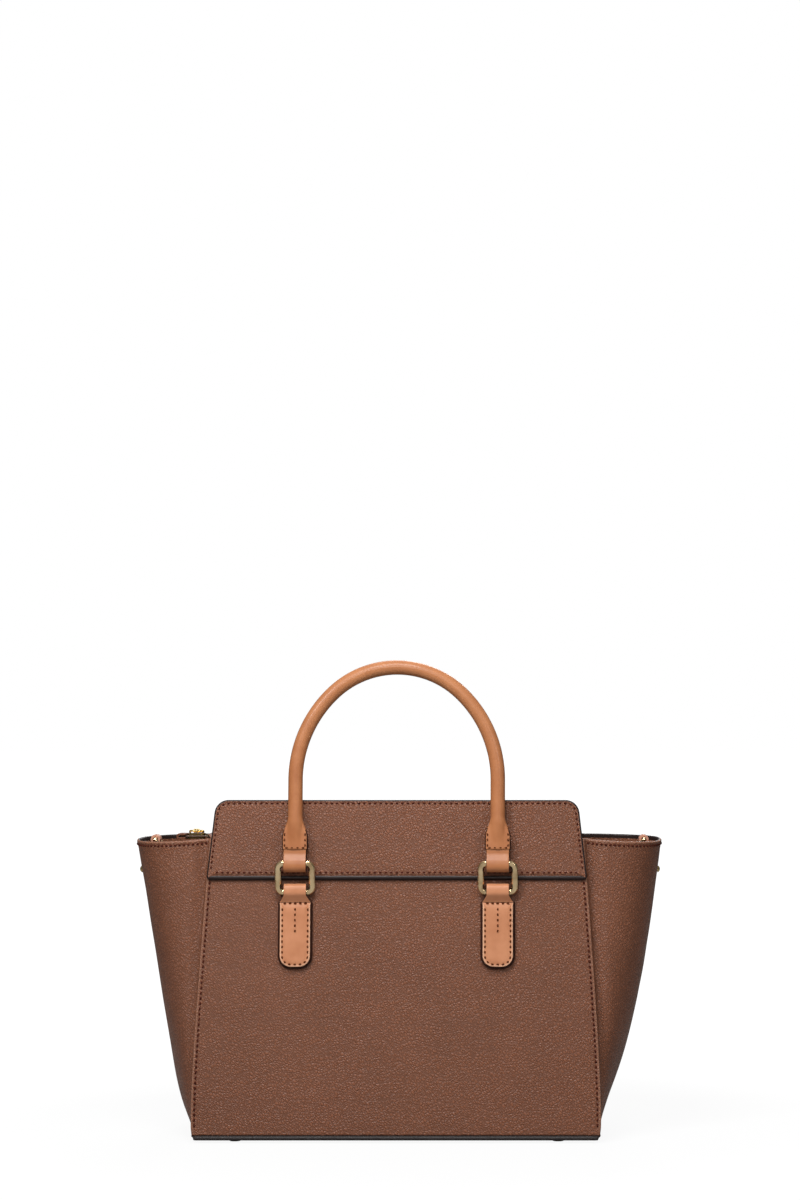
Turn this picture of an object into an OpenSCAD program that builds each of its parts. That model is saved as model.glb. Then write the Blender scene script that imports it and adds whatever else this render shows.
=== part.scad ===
// Top handle bag with winged sides, a stand-up yoke on each face, two rolled handles
// on rectangular rings, and a zipped mouth.
// Millimetres. X runs across the bag, the front faces -Y, Z is up.
// The origin is the middle of the base, on the floor.

/* [Body] */
// Width of the front and back panels at their foot
base_w = 284; // [260:1:300]
// Depth of the bag at its foot
base_d = 140; // [130:1:150]
// Depth of the bag at the rim
mouth_d = 100; // [94:1:106]
// Height of the rim above the floor
rim_z = 211; // [206:1:220]
// How much narrower the front and back panels are at the rim
panel_taper = 21; // [16:1:28]
// How far each wing tip stands out past the panel's side, at the rim
wing_reach = 57.8; // [50:0.2:64]
// How much lower the wing tip is than the rim beside the panel
tip_drop = 4; // [1:0.5:8]
// How quickly the wing opens on its way up, 1 is a straight crease
wing_curve = 0.64; // [0.55:0.01:1]
// Roundness of the wing's crease, small is sharp
crease_round = 0.15; // [0.1:0.01:0.3]

/* [Leather] */
// Thickness of a panel with its stiffener
panel_t = 2.4; // [1.8:0.1:3]
// Thickness of the gusset leather
gusset_t = 1.8; // [1.2:0.1:2.2]
// How far the gusset's seam lies in from the panel's edge
seam_in = 1.5; // [1:0.1:2.5]
// Thickness of the lining cloth
lining_t = 0.8; // [0.5:0.1:1]
// How far the lining ends below the rim
lining_drop = 12; // [8:1:20]
// Thickness of one layer of the tan strap leather
strap_t = 2; // [1.5:0.1:2.4]

/* [Base] */
// Height of the metal feet
foot_h = 2; // [1.5:0.1:3]
// Diameter of the metal feet
foot_d = 10; // [8:0.5:12]
// Distance of the outer feet from the panels' side edges at the foot
foot_in_x = 29; // [20:1:50]
// Distance of the outer feet from the panels' faces at the foot
foot_in_y = 14; // [10:1:30]
// Thickness of the base plate with its painted edge
base_t = 3.4; // [2.5:0.1:4.5]
// How far the base plate stands out past the panels
base_lip = 0.6; // [0.2:0.1:1.5]
// Corner radius of the base plate
base_round = 4; // [2:0.5:6]
// Thickness of the stiff board inside the base
board_t = 2; // [1.5:0.1:3]

/* [Yoke] */
// Height of the yoke's lower edge
yoke_low = 182; // [178:1:186]
// Height of the yoke's upper edge above the rim, at the front
yoke_rise = 28.5; // [22:0.5:34]
// How much lower the back yoke stands than the front one
back_yoke_drop = 3; // [0:0.5:6]
// How far the yoke's lower corners stand out past the panel's side edges
yoke_over = 0.5; // [0:0.1:2]
// How far each side of the yoke runs in on its way up
yoke_taper = 6.6; // [2:0.2:9]
// Radius of the yoke's upper corners
yoke_round = 10; // [6:0.5:14]
// Thickness of the yoke
yoke_t = 2.6; // [2:0.1:3]

/* [Rings] */
// Distance of each ring from the middle of the bag
handle_x = 70.8; // [60:0.2:78]
// Height of the ring's lower bar
ring_z = 173.9; // [170:0.1:176]
// Width of a ring over its outside
ring_w = 28.2; // [26:0.2:30]
// Distance between the middles of a ring's two bars
ring_pitch = 20.4; // [19:0.2:23]
// Width of a ring's side bar
ring_bar = 4.4; // [4:0.1:5]
// Thickness of a ring from front to back
ring_t = 3.6; // [3:0.1:4]
// Bevel along the ring's edges
ring_bevel = 0.9; // [0.4:0.1:1.2]
// Outer corner radius of a ring
ring_round = 6; // [5:0.1:6.4]
// Radius of the round bars that turn in the leather loops
pin_r = 2; // [1.6:0.05:2.2]
// Spare length of each leather loop round its bar
loop_slack = 2; // [1:0.1:3]

/* [Strap ends] */
// Width of the straps where they pass through a ring
neck_w = 16; // [14:0.1:16.2]
// Width of the lower strap end on the panel
chape_w = 22.6; // [20:0.2:26]
// Height of the lower strap end's foot
chape_low = 121; // [110:1:130]
// How far below the ring's bar the lower strap end has its full width
chape_neck = 7.4; // [6:0.1:9]
// Height over which it widens from the neck
chape_flare = 4.4; // [3:0.1:4.5]
// Corner radius of the lower strap end's foot
chape_round = 8.4; // [5:0.1:9.8]

/* [Handles] */
// Radius of the rolled handle
grip_r = 5.1; // [4.5:0.1:5.5]
// Radius of the cord inside the handle
core_r = 3.4; // [2.5:0.1:3.8]
// Length of a handle from its ring bar to the outside of its arch
handle_len = 143.1; // [137:0.1:147]
// Length of the flat tab above the ring bar
tab_h = 17; // [14:0.5:20]
// Width of the flat tab where the roll begins
tab_w = 18.2; // [16.4:0.2:20]
// Length over which the flat tab turns into the round handle
flare_h = 15; // [12:0.5:20]

/* [Zip] */
// Height of the zip's chain
zip_z = 211; // [209:0.5:213]
// How far the front half of the chain runs past the panel's left side
zip_past = 5.5; // [0:0.5:8]
// How far the front half of the chain ends before the panel's right side
zip_short = 21.5; // [18:0.5:32]
// Distance from one tooth of the zip to the next
tooth_pitch = 2.5; // [2:0.1:4]
// Depth of a tooth from its tip to the tape
tooth_l = 2.6; // [2.2:0.1:3]
// Half the height of a tooth
tooth_half = 0.9; // [0.7:0.05:1]
// Thickness of the zip's tape
tape_t = 0.7; // [0.5:0.1:0.8]
// Thickness of the leather facings beside the zip
facing_t = 1.6; // [1.2:0.1:2]
// Length of the zip slider
slider_l = 13; // [10:0.5:13]
// Width of the zip slider
slider_w = 9; // [8.6:0.1:10]
// Thickness of the slider's plates
slider_plate = 0.8; // [0.6:0.1:1]
// Length of the puller
puller_l = 24; // [16:1:28]
// Width of the puller
puller_w = 6.6; // [5:0.2:8]
// Thickness of the puller
puller_t = 1.2; // [1:0.1:1.4]

/* [Strap loops in the wing tips] */
// Width of the leather loop in each wing tip
loop_w = 11; // [8:0.5:12]
// Thickness of the loop's leather
loop_t = 1.8; // [1.4:0.1:2]
// Distance of the loop from the wing tip
loop_in = 12.7; // [12:0.1:16]
// Height of the loop's bar above the rim's tip
loop_up = 1.7; // [0:0.1:3]
// Length of the loop's two legs
loop_legs = 28; // [24:0.5:32]
// Distance of the rivet below the loop's bar
rivet_down = 21.4; // [18:0.2:22]
// Radius of the rivet's shank
rivet_r = 1.4; // [1:0.1:1.6]
// Radius of the rivet's head
rivet_head_r = 2.6; // [2.2:0.1:3.2]
// Radius of the wire of the D-rings
wire_r = 1.6; // [1.3:0.1:1.8]
// Radius of the D-ring's bow, at the middle of the wire
d_r = 9; // [8.5:0.1:9.4]

/* [Hidden] */
// Running clearance of a bar in its loop
run_gap = 0.08;
// Clearance between pieces sewn or glued together
seat_gap = 0.1;
// Clearance between pieces that pass each other
pass_gap = 0.3;
// Overrun of every cut
cut = 1;
// Smoothness of round shapes
$fn = 48;

// Body: the panels lean in by this angle, and stand on the base plate
base_top = foot_h + base_t;
panel_top_w = base_w - panel_taper;
lean = atan((base_d - mouth_d) / 2 / rim_z);
slope_top = rim_z / cos(lean);
panel_in = panel_t + seat_gap;
function half_w(z) = base_w / 2 - (base_w - panel_top_w) / 2 * (z - base_top) / (rim_z - base_top);
function out_d(z) = base_d / 2 - z * tan(lean);
function in_d(z) = out_d(z) - panel_in / cos(lean);

// Wings: a hyperbola across the gusset, opened by height
wing_rows = 12;
wing_cols = 16;
wing_row_power = 1.3;
wing_flat = sqrt(1 + pow(crease_round, 2)) - crease_round;
tip_x = half_w(rim_z) - seam_in + wing_reach;
function wing_open(z) = wing_reach * pow(max(0, z - base_top) / (rim_z - base_top), wing_curve);
function wing_bow(v) = 1 - (sqrt(v * v + pow(crease_round, 2)) - crease_round) / wing_flat;
function wing_xy(z, v, inset) =
    [half_w(z) - seam_in + wing_open(z) * wing_bow(v), (in_d(z) - inset) * v];
function wing_normal(z, v, inset) =
    let(step = 1 / wing_cols / wing_cols,
        a = wing_xy(z, max(-1, v - step), inset),
        b = wing_xy(z, min(1, v + step), inset),
        t = (b - a) / norm(b - a))
    [t.y, -t.x];
// A point of a layer that lies off the outside of the gusset by depth
function wing_point(row, col, depth, inset, drop) =
    let(k = 2 * col / wing_cols - 1,
        v = k * abs(k),
        top = rim_z - drop - tip_drop * wing_bow(v),
        z = base_top + (top - base_top) * pow(row / wing_rows, wing_row_power),
        p = wing_xy(z, v, inset),
        n = wing_normal(z, v, inset),
        q = abs(v) == 1 ? [p.x - depth / n.x, p.y] : p - n * depth)
    [q.x, q.y, z];

// Base plate
plate_x = base_w / 2 + base_lip;
plate_y = base_d / 2 + base_lip;
plate_bevel = base_t / 3;

// Feet: a dome with a flat underside
foot_x = base_w / 2 - foot_in_x;
foot_y = base_d / 2 - foot_in_y;
foot_flat_share = 0.75;
foot_edge_share = 0.55;

// Lining and pocket
lining_in = gusset_t * 1.5 + seat_gap;
lining_top = (rim_z - lining_drop) / cos(lean);
wing_lining_inset = lining_t + 2 * seat_gap;
pocket_w = base_w * 0.53;
pocket_low = rim_z * 0.38;
pocket_top = rim_z * 0.8;
board_y = in_d(base_top) - lining_t - 3 * seat_gap;
board_x = base_w / 2 - seam_in - lining_in - lining_t;

// Yoke
yoke_base = yoke_low / cos(lean);
yoke_w = 2 * (half_w(yoke_low) + yoke_over);
yoke_side = atan(yoke_taper / (rim_z + yoke_rise - yoke_low));

// Loops: the strap folds round a bar, with its inner layer on the panel
bore_r = pin_r + run_gap;
fold_r = bore_r + strap_t;
bar_y = -fold_r;
bar_s = (ring_z + bar_y * sin(lean)) / cos(lean);
pinch = fold_r * 1.5;
chape_shoulder = ring_z - chape_neck;
fold_turn = 60;

// Rings: they stand clear of the yoke in front, and hang over the strap end at the back.
// The angles are measured from the panel's own slope
ring_side = ring_w / 2 - ring_bar / 2;
ring_bend = ring_round - ring_bar / 2;
ring_straight = ring_side - ring_bend;
yoke_clear = 0.4;
front_ring_tilt = asin((yoke_t + yoke_clear + loop_slack) / ring_pitch);
grip_clear = 0.5;
grip_start = tab_h + flare_h;
grip_reach = (rim_z + yoke_rise) / cos(lean) - bar_s - ring_pitch * cos(front_ring_tilt);
front_grip_tilt = atan((grip_clear + grip_r - yoke_clear - fold_r - loop_slack) / grip_reach);
back_ring_hang = 27;
back_ring_tilt = 180 - back_ring_hang;
back_bar_y = -bar_y + ring_pitch * sin(back_ring_tilt);
back_grip_tilt = 180 + asin((back_bar_y - grip_r - grip_clear) / (handle_len - grip_r));

// Handle arch: two side arcs and a top arc that meet smoothly
side_arc_share = 1.2;
top_arc_share = 0.91;
side_arc = handle_x * side_arc_share;
top_arc = handle_x * top_arc_share;
arc_meet = acos((side_arc - handle_x) / (side_arc - top_arc));
arc_z = handle_len - grip_r - top_arc - (side_arc - top_arc) * sin(arc_meet);
collar_turn = 0.3;
collar_rise = 0.05;

// Zip: each half of the mouth turns on a sewn line beside its panel
flap_drop = 6;
flap_z = zip_z - flap_drop;
flap_y = in_d(flap_z + facing_t) - pass_gap;
facing_bend = 12;
facing_edge = 5;
flap_in = 11;
zip_left = panel_top_w / 2 + zip_past;
zip_right = panel_top_w / 2 - zip_short;
post_w = 0.6;
row_gap = post_w + pass_gap;
tooth_x_share = 0.55;
tooth_in = row_gap / 2;
tape_in = tooth_in + tooth_l * 0.6;
tail_half = 8;
tail_left_spare = 8.2;
tail_right_spare = 3.4;
tail_left = zip_left + slider_l + tail_left_spare;
tail_right = zip_right + slider_l + tail_right_spare;
end_tab_l = 10;
slider_stop = 2.7;
slider_rest = -(zip_left + slider_l / 2 + slider_stop);
slider_corner = slider_w / 6;
slider_nose = slider_w / 8;
slider_narrow = slider_w / 30;
plate_z = tooth_half + pass_gap;
lip_z = tape_t / 2 + pass_gap;
lip_w = 0.8;
bail_r = 0.7;
bail_rise = 1.7;
bail_z = plate_z + slider_plate + bail_rise;
bail_half = slider_l * 0.36;
eye_w = 4;
eye_t = 0.7;
puller_neck = 3;
puller_rest = -4;

// Strap loops and D-rings in the wing tips
loop_x = tip_x - loop_in;
loop_z = rim_z - tip_drop + loop_up;
wire_bore = wire_r + seat_gap;
loop_r = wire_bore + loop_t;
rivet_z = loop_z - rivet_down;
rivet_seat_z = rivet_z + rivet_head_r;
rivet_out = half_w(rivet_seat_z) - seam_in + wing_open(rivet_seat_z);
rivet_cap = 1.2;
rivet_dome = 1.8;
rivet_dome_r = (pow(rivet_dome, 2) + pow(rivet_head_r, 2)) / 2 / rivet_dome;
d_tilt = asin((loop_t + wire_r + pass_gap) / sqrt(pow(d_r, 2) - pow((loop_w + wire_r) / 2, 2)));

brown = "#775340";
tan_leather = "#c68f6a";
edge_paint = "#3a2a26";
cloth = "#8a6a50";
gold = "#c9b27a";

// Puts what is drawn on the slope of the front panel, or of the back panel:
// X across, Z up the slope, -Y outwards, Y = 0 on the panel's outer face
module on_slope(back = false) {
    rotate([0, 0, back ? 180 : 0])
        translate([0, -base_d / 2, 0])
            rotate([-lean, 0, 0])
                children();
}

// A plate on the slope from an outline in X and Z, between two depths
module slope_plate(from, to) {
    translate([0, to, 0]) rotate([90, 0, 0]) linear_extrude(to - from) children();
}

// Outline with a straight foot, sides that run in, and round upper corners
module round_topped(foot_half, foot_s, top_s, side, r) {
    xc = foot_half - (r + (top_s - r - foot_s) * sin(side)) / cos(side);
    xt = xc + r * cos(side);
    st = top_s - r + r * sin(side);
    polygon([[-foot_half, foot_s], [foot_half, foot_s], [xt, st], [xc, top_s],
        [-xc, top_s], [-xt, st]]);
    for (sx = [-1, 1]) translate([sx * xc, top_s - r]) circle(r);
}

// Slot or fold round a bar: a circle drawn out by the loop's slack
module drawn_circle(r, slack) {
    circle(r);
    translate([0, slack]) circle(r);
    translate([-r, min(0, slack)]) square([2 * r, abs(slack)]);
}

// Extrudes an outline in Y and Z across the bag
module across(width) {
    rotate([90, 0, 90]) translate([0, 0, -width / 2]) linear_extrude(width) children();
}

module panel(back) {
    color(brown) difference() {
        on_slope(back) slope_plate(0, panel_t)
            polygon([[-half_w(0), 0], [half_w(0), 0], [half_w(rim_z), slope_top],
                [-half_w(rim_z), slope_top]]);
        translate([-base_w, -base_d, -base_d]) cube([2 * base_w, 2 * base_d, base_d + base_top]);
    }
}

// One closed layer of the gusset between two depths below its outside
module wing_layer(outer, inner, inset, drop) {
    n = wing_cols + 1;
    m = (wing_rows + 1) * n;
    points = [for (depth = [outer, inner], row = [0:wing_rows], col = [0:wing_cols])
        wing_point(row, col, depth, inset, drop)];
    walls = [for (row = [0:wing_rows - 1], col = [0:wing_cols - 1])
        let(a = row * n + col, b = a + 1, c = a + n, d = c + 1)
        each [[a, c, b], [b, c, d], [m + a, m + b, m + c], [m + b, m + d, m + c]]];
    ends = [for (row = [0:wing_rows - 1])
        let(a = row * n, c = a + n, b = a + wing_cols, d = c + wing_cols)
        each [[a, m + a, c], [c, m + a, m + c], [b, d, m + b], [d, m + d, m + b]]];
    rims = [for (col = [0:wing_cols - 1])
        let(a = col, b = a + 1, c = wing_rows * n + col, d = c + 1)
        each [[a, b, m + a], [b, m + b, m + a], [c, m + c, d], [d, m + c, m + d]]];
    polyhedron(points, concat(walls, ends, rims), 10);
}

module rivet_hole() {
    translate([rivet_out - loop_in, 0, rivet_z]) rotate([0, 90, 0])
        cylinder(h = loop_in + cut, r = rivet_r + seat_gap);
}

module gusset() {
    color(brown) difference() {
        wing_layer(0, gusset_t, 0, 0);
        rivet_hole();
    }
}

module gusset_lining() {
    color(cloth) difference() {
        wing_layer(gusset_t + pass_gap, gusset_t + pass_gap + lining_t,
            wing_lining_inset, lining_drop);
        rivet_hole();
    }
}

module base_panel() {
    color(edge_paint) hull()
        for (sx = [-1, 1], sy = [-1, 1])
            translate([sx * (plate_x - base_round), sy * (plate_y - base_round), foot_h]) {
                cylinder(h = base_t, r = base_round - plate_bevel, $fn = 32);
                translate([0, 0, plate_bevel])
                    cylinder(h = base_t - 2 * plate_bevel, r = base_round, $fn = 32);
            }
}

module base_board() {
    color(edge_paint) translate([-board_x, -board_y, base_top])
        cube([2 * board_x, 2 * board_y, board_t]);
}

module base_lining() {
    color(cloth) translate([-board_x, -board_y, base_top + board_t])
        cube([2 * board_x, 2 * board_y, lining_t]);
}

module base_feet() {
    flat = foot_d / 2 * foot_flat_share;
    edge = foot_h * foot_edge_share;
    color(gold)
        for (p = [[0, 0], [1, 1], [1, -1], [-1, 1], [-1, -1]])
            translate([p.x * foot_x, p.y * foot_y, 0]) rotate_extrude()
                polygon([[0, 0], [flat, 0], [foot_d / 2, edge], [foot_d / 2, foot_h], [0, foot_h]]);
}

module yoke(back) {
    top = (rim_z + yoke_rise - (back ? back_yoke_drop : 0)) / cos(lean);
    color(brown) on_slope(back) slope_plate(-yoke_t, 0)
        round_topped(yoke_w / 2, yoke_base, top, yoke_side, yoke_round);
}

// The inner layer of the yoke carries on from the top of the panel
module yoke_facing(back) {
    top = (rim_z + yoke_rise - (back ? back_yoke_drop : 0)) / cos(lean);
    color(brown) on_slope(back) slope_plate(0, panel_t) intersection() {
        round_topped(yoke_w / 2, yoke_base, top, yoke_side, yoke_round);
        translate([-yoke_w, slope_top]) square([2 * yoke_w, rim_z]);
    }
}

module lining(back) {
    low = half_w(base_top) - seam_in - lining_in;
    high = half_w(rim_z) - seam_in - lining_in;
    color(cloth) difference() {
        on_slope(back) slope_plate(panel_in, panel_in + lining_t)
            polygon([[-low, 0], [low, 0], [high, lining_top], [-high, lining_top]]);
        translate([-base_w, -base_d, -base_d]) cube([2 * base_w, 2 * base_d, base_d + base_top]);
    }
}

module slip_pocket() {
    depth = panel_in + lining_t + seat_gap;
    color(cloth) on_slope(true) slope_plate(depth, depth + lining_t)
        translate([-pocket_w / 2, pocket_low]) square([pocket_w, pocket_top - pocket_low]);
}

// Lower strap end: a tan strap folded round the ring's lower bar and sewn to the panel
module chape(back, side) {
    low = chape_low / cos(lean);
    shoulder = chape_shoulder / cos(lean);
    half = chape_w / 2;
    color(tan_leather) on_slope(back) translate([side * handle_x, 0, 0]) difference() {
        union() {
            slope_plate(-2 * strap_t, 0) {
                polygon([[-half, low + chape_round], [-half, shoulder],
                    [-neck_w / 2, shoulder + chape_flare], [-neck_w / 2, bar_s],
                    [neck_w / 2, bar_s], [neck_w / 2, shoulder + chape_flare],
                    [half, shoulder], [half, low + chape_round],
                    [half - chape_round, low], [chape_round - half, low]]);
                for (sx = [-1, 1])
                    translate([sx * (half - chape_round), low + chape_round])
                        circle(chape_round);
            }
            across(neck_w) {
                translate([bar_y, bar_s]) drawn_circle(fold_r, loop_slack);
                polygon([[0, bar_s + loop_slack], [bar_y, bar_s],
                    [bar_y - fold_r * sin(fold_turn), bar_s - fold_r * cos(fold_turn)],
                    [-2 * strap_t, bar_s - pinch], [0, bar_s - pinch]]);
            }
        }
        across(neck_w + 2 * cut) translate([bar_y, bar_s]) drawn_circle(bore_r, loop_slack);
    }
}

// Where a ring and a handle sit, from the tilt of each
module on_ring(back, tilt) {
    on_slope(back) translate([0, bar_y, bar_s]) rotate([tilt, 0, 0]) children();
}
module on_grip(back, ring_tilt, grip_tilt) {
    on_ring(back, ring_tilt) translate([0, 0, ring_pitch]) rotate([grip_tilt - ring_tilt, 0, 0])
        children();
}

// Bevelled section of a ring: width in the ring's plane, then thickness
module ring_section() {
    a = ring_bar / 2;
    b = ring_t / 2;
    polygon([[a, b - ring_bevel], [a - ring_bevel, b], [ring_bevel - a, b], [-a, b - ring_bevel],
        [-a, ring_bevel - b], [ring_bevel - a, -b], [a - ring_bevel, -b], [a, ring_bevel - b]]);
}

module ring(back, side, tilt) {
    color(gold) on_ring(back, tilt) translate([side * handle_x, 0, 0]) {
        for (sx = [-1, 1])
            translate([sx * ring_side, 0, ring_bend]) linear_extrude(ring_pitch - 2 * ring_bend)
                ring_section();
        for (sx = [0, 1], sz = [0, 1]) mirror([sx, 0, 0])
            translate([0, 0, ring_pitch / 2]) mirror([0, 0, sz])
                translate([ring_straight, 0, ring_bend - ring_pitch / 2]) rotate([90, 0, 0])
                    rotate([0, 0, -90]) rotate_extrude(angle = 90)
                        translate([ring_bend, 0]) ring_section();
        for (z = [0, ring_pitch]) translate([-ring_straight, 0, z]) rotate([0, 90, 0])
            cylinder(h = 2 * ring_straight, r = pin_r);
    }
}

// One arc of a handle's run, lying in X and Y
module bend(radius, from, to, r) {
    rotate([0, 0, from]) rotate_extrude(angle = to - from) translate([radius, 0]) circle(r);
}

// The whole run of a round handle, as a bar of the given radius that starts above the tabs.
// A narrow collar covers the line where a side arc meets the top arc
module arch(r, start) {
    rotate([90, 0, 0]) {
        for (sx = [0, 1]) mirror([sx, 0, 0]) translate([handle_x - side_arc, arc_z]) {
            bend(side_arc, 0, arc_meet, r);
            bend(side_arc, arc_meet - collar_turn, arc_meet + collar_turn, r + collar_rise);
        }
        translate([0, arc_z + (side_arc - top_arc) * sin(arc_meet)])
            bend(top_arc, arc_meet, 180 - arc_meet, r);
    }
    for (sx = [-1, 1]) translate([sx * handle_x, 0, start]) cylinder(h = arc_z - start, r = r);
}

// Thin slice of the stretch where the flat tab turns round
module flare_slice(z, wide, deep) {
    translate([0, 0, z]) scale([wide / deep, 1, 1])
        cylinder(h = seat_gap, r = deep / 2, $fn = 32);
}

module handle_tab() {
    mid_share = 0.45;
    mid_w = tab_w + (2 * grip_r - tab_w) * 0.6;
    mid_t = 2 * strap_t + (2 * grip_r - 2 * strap_t) * 0.62;
    difference() {
        union() {
            intersection() {
                across(tab_w + cut) {
                    drawn_circle(fold_r, -loop_slack);
                    polygon([[-strap_t, tab_h], [strap_t, tab_h], [strap_t, pinch],
                        [fold_r * sin(fold_turn), fold_r * cos(fold_turn)],
                        [-fold_r * sin(fold_turn), fold_r * cos(fold_turn)],
                        [-strap_t, pinch]]);
                }
                slope_plate(-2 * fold_r, 2 * fold_r)
                    polygon([[-neck_w / 2, -2 * fold_r], [neck_w / 2, -2 * fold_r],
                        [neck_w / 2, tab_h / 2], [tab_w / 2, tab_h],
                        [-tab_w / 2, tab_h], [-neck_w / 2, tab_h / 2]]);
            }
            hull() {
                flare_slice(tab_h - seat_gap, tab_w, 2 * strap_t);
                flare_slice(tab_h + flare_h * mid_share, mid_w, mid_t);
            }
            hull() {
                flare_slice(tab_h + flare_h * mid_share, mid_w, mid_t);
                flare_slice(grip_start, 2 * grip_r, 2 * grip_r);
            }
        }
        across(tab_w + 2 * cut) drawn_circle(bore_r, -loop_slack);
    }
}

module handle(back, ring_tilt, grip_tilt) {
    color(tan_leather) on_grip(back, ring_tilt, grip_tilt) {
        difference() {
            arch(grip_r, grip_start);
            arch(core_r + seat_gap, grip_start + grip_r);
        }
        for (sx = [-1, 1]) translate([sx * handle_x, 0, 0]) handle_tab();
    }
}

module handle_core(back, ring_tilt, grip_tilt) {
    color(cloth) on_grip(back, ring_tilt, grip_tilt) arch(core_r, grip_start + grip_r + seat_gap);
}

// Leather facing of one half of the mouth: it slopes up from its sewn line and lies on the tape
module zip_facing(back) {
    left = back ? zip_right : zip_left;
    right = back ? zip_left : zip_right;
    tape_top = zip_z + tape_t / 2;
    rotate([0, 0, back ? 180 : 0]) color(brown) intersection() {
        across(2 * base_w)
            polygon([[-flap_y, flap_z], [-facing_bend, tape_top], [-facing_edge, tape_top],
                [-facing_edge, tape_top + facing_t], [-facing_bend, tape_top + facing_t],
                [-flap_y, flap_z + facing_t]]);
        translate([0, 0, flap_z - cut]) linear_extrude(zip_z)
            polygon([[-left + flap_in, -flap_y], [right - flap_in, -flap_y],
                [right, -facing_bend], [right, 0], [-left, 0], [-left, -facing_bend]]);
    }
}

// A strip of tape from x0 to x1, on the front of the chain
module tape(x0, x1, half) {
    translate([x0, -half, zip_z - tape_t / 2]) cube([x1 - x0, half - tape_in, tape_t]);
}

// A row of teeth from x0 to x1, on the front of the chain, joined along the tape's edge
module teeth(x0, x1) {
    count = floor((x1 - x0) / tooth_pitch);
    wide = tooth_pitch * tooth_x_share;
    spine = tooth_in + tooth_l * 0.55;
    translate([0, 0, zip_z - tooth_half]) linear_extrude(2 * tooth_half)
        polygon(concat([[x0 + (count - 1) * tooth_pitch + wide, -tooth_in - tooth_l],
            [x0, -tooth_in - tooth_l]],
            [for (k = [0:count - 1]) let(x = x0 + k * tooth_pitch)
                each [[x, -spine], [x, -tooth_in], [x + wide, -tooth_in], [x + wide, -spine]]]));
}

// The tape is let into the row of teeth
module tape_slot(x0, x1) {
    translate([x0 - cut, -facing_bend, zip_z - tape_t / 2 - seat_gap])
        cube([x1 - x0 + 2 * cut, facing_bend - tape_in + seat_gap, tape_t + 2 * seat_gap]);
}

module front_zip_tape() {
    color(brown) tape(-zip_left, zip_right, facing_bend);
}

module front_zip_teeth() {
    color(gold) difference() {
        teeth(-zip_left, zip_right);
        tape_slot(-zip_left, zip_right);
    }
}

// The back half of the zip also carries both ends of the chain, past the front half
module back_zip_tape() {
    color(brown) {
        mirror([0, 1, 0]) {
            tape(-zip_left, tail_right, facing_bend);
            tape(-tail_left, -zip_left, tail_half);
        }
        tape(-tail_left, -zip_left - 2 * pass_gap, tail_half);
        tape(zip_right + 2 * pass_gap, tail_right, facing_bend);
        translate([-tail_left, -tail_half, zip_z - tape_t / 2])
            cube([end_tab_l / 2, 2 * tail_half, tape_t]);
        translate([tail_right - row_gap, -facing_bend, zip_z - tape_t / 2])
            cube([row_gap, 2 * facing_bend, tape_t]);
    }
}

module back_zip_teeth() {
    left = tail_left - end_tab_l / 2 - row_gap;
    right = tail_right - 2 * row_gap;
    color(gold) difference() {
        union() {
            mirror([0, 1, 0]) teeth(-left, right);
            teeth(-left, -zip_left - 2 * pass_gap);
            teeth(zip_right + 2 * pass_gap, right);
        }
        tape_slot(-left, right);
        mirror([0, 1, 0]) tape_slot(-left, right);
    }
}

// Leather tab folded over the left end of the zip
module zip_end_tab() {
    wall = facing_t + seat_gap;
    color(brown) translate([-tail_left, 0, zip_z]) difference() {
        translate([-wall, -tail_half - wall, -tape_t / 2 - wall])
            cube([end_tab_l / 2 + wall, 2 * (tail_half + wall), tape_t + 2 * wall]);
        translate([-seat_gap, -tail_half - seat_gap, -tape_t / 2 - seat_gap])
            cube([end_tab_l, 2 * (tail_half + seat_gap), tape_t + 2 * seat_gap]);
    }
}

// Outline of the slider: wide where the rows enter, narrow where they leave
module slider_outline() {
    back = slider_l / 2;
    side = slider_w / 2;
    polygon([[slider_corner - back, -side], [-back, slider_corner - side],
        [-back, side - slider_corner], [slider_corner - back, side],
        [back - slider_nose, side - slider_narrow], [back, side - slider_nose],
        [back, slider_nose - side], [back - slider_nose, slider_narrow - side]]);
}

module zip_slider() {
    color(gold) translate([slider_rest, 0, zip_z]) {
        for (sz = [0, 1]) mirror([0, 0, sz]) {
            translate([0, 0, plate_z]) linear_extrude(slider_plate) slider_outline();
            translate([0, 0, lip_z]) linear_extrude(plate_z - lip_z) difference() {
                slider_outline();
                square([slider_l + cut, slider_w - 2 * (lip_w + slider_narrow)], center = true);
            }
        }
        translate([-slider_l / 2, -post_w / 2, -plate_z]) cube([slider_l / 4, post_w, 2 * plate_z]);
        for (sx = [-1, 1]) translate([sx * bail_half, 0, plate_z])
            cylinder(h = bail_z - plate_z, r = bail_r);
        for (sx = [-1, 1]) translate([sx * bail_half, 0, bail_z]) sphere(bail_r);
        translate([-bail_half, 0, bail_z]) rotate([0, 90, 0])
            cylinder(h = 2 * bail_half, r = bail_r);
    }
}

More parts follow.
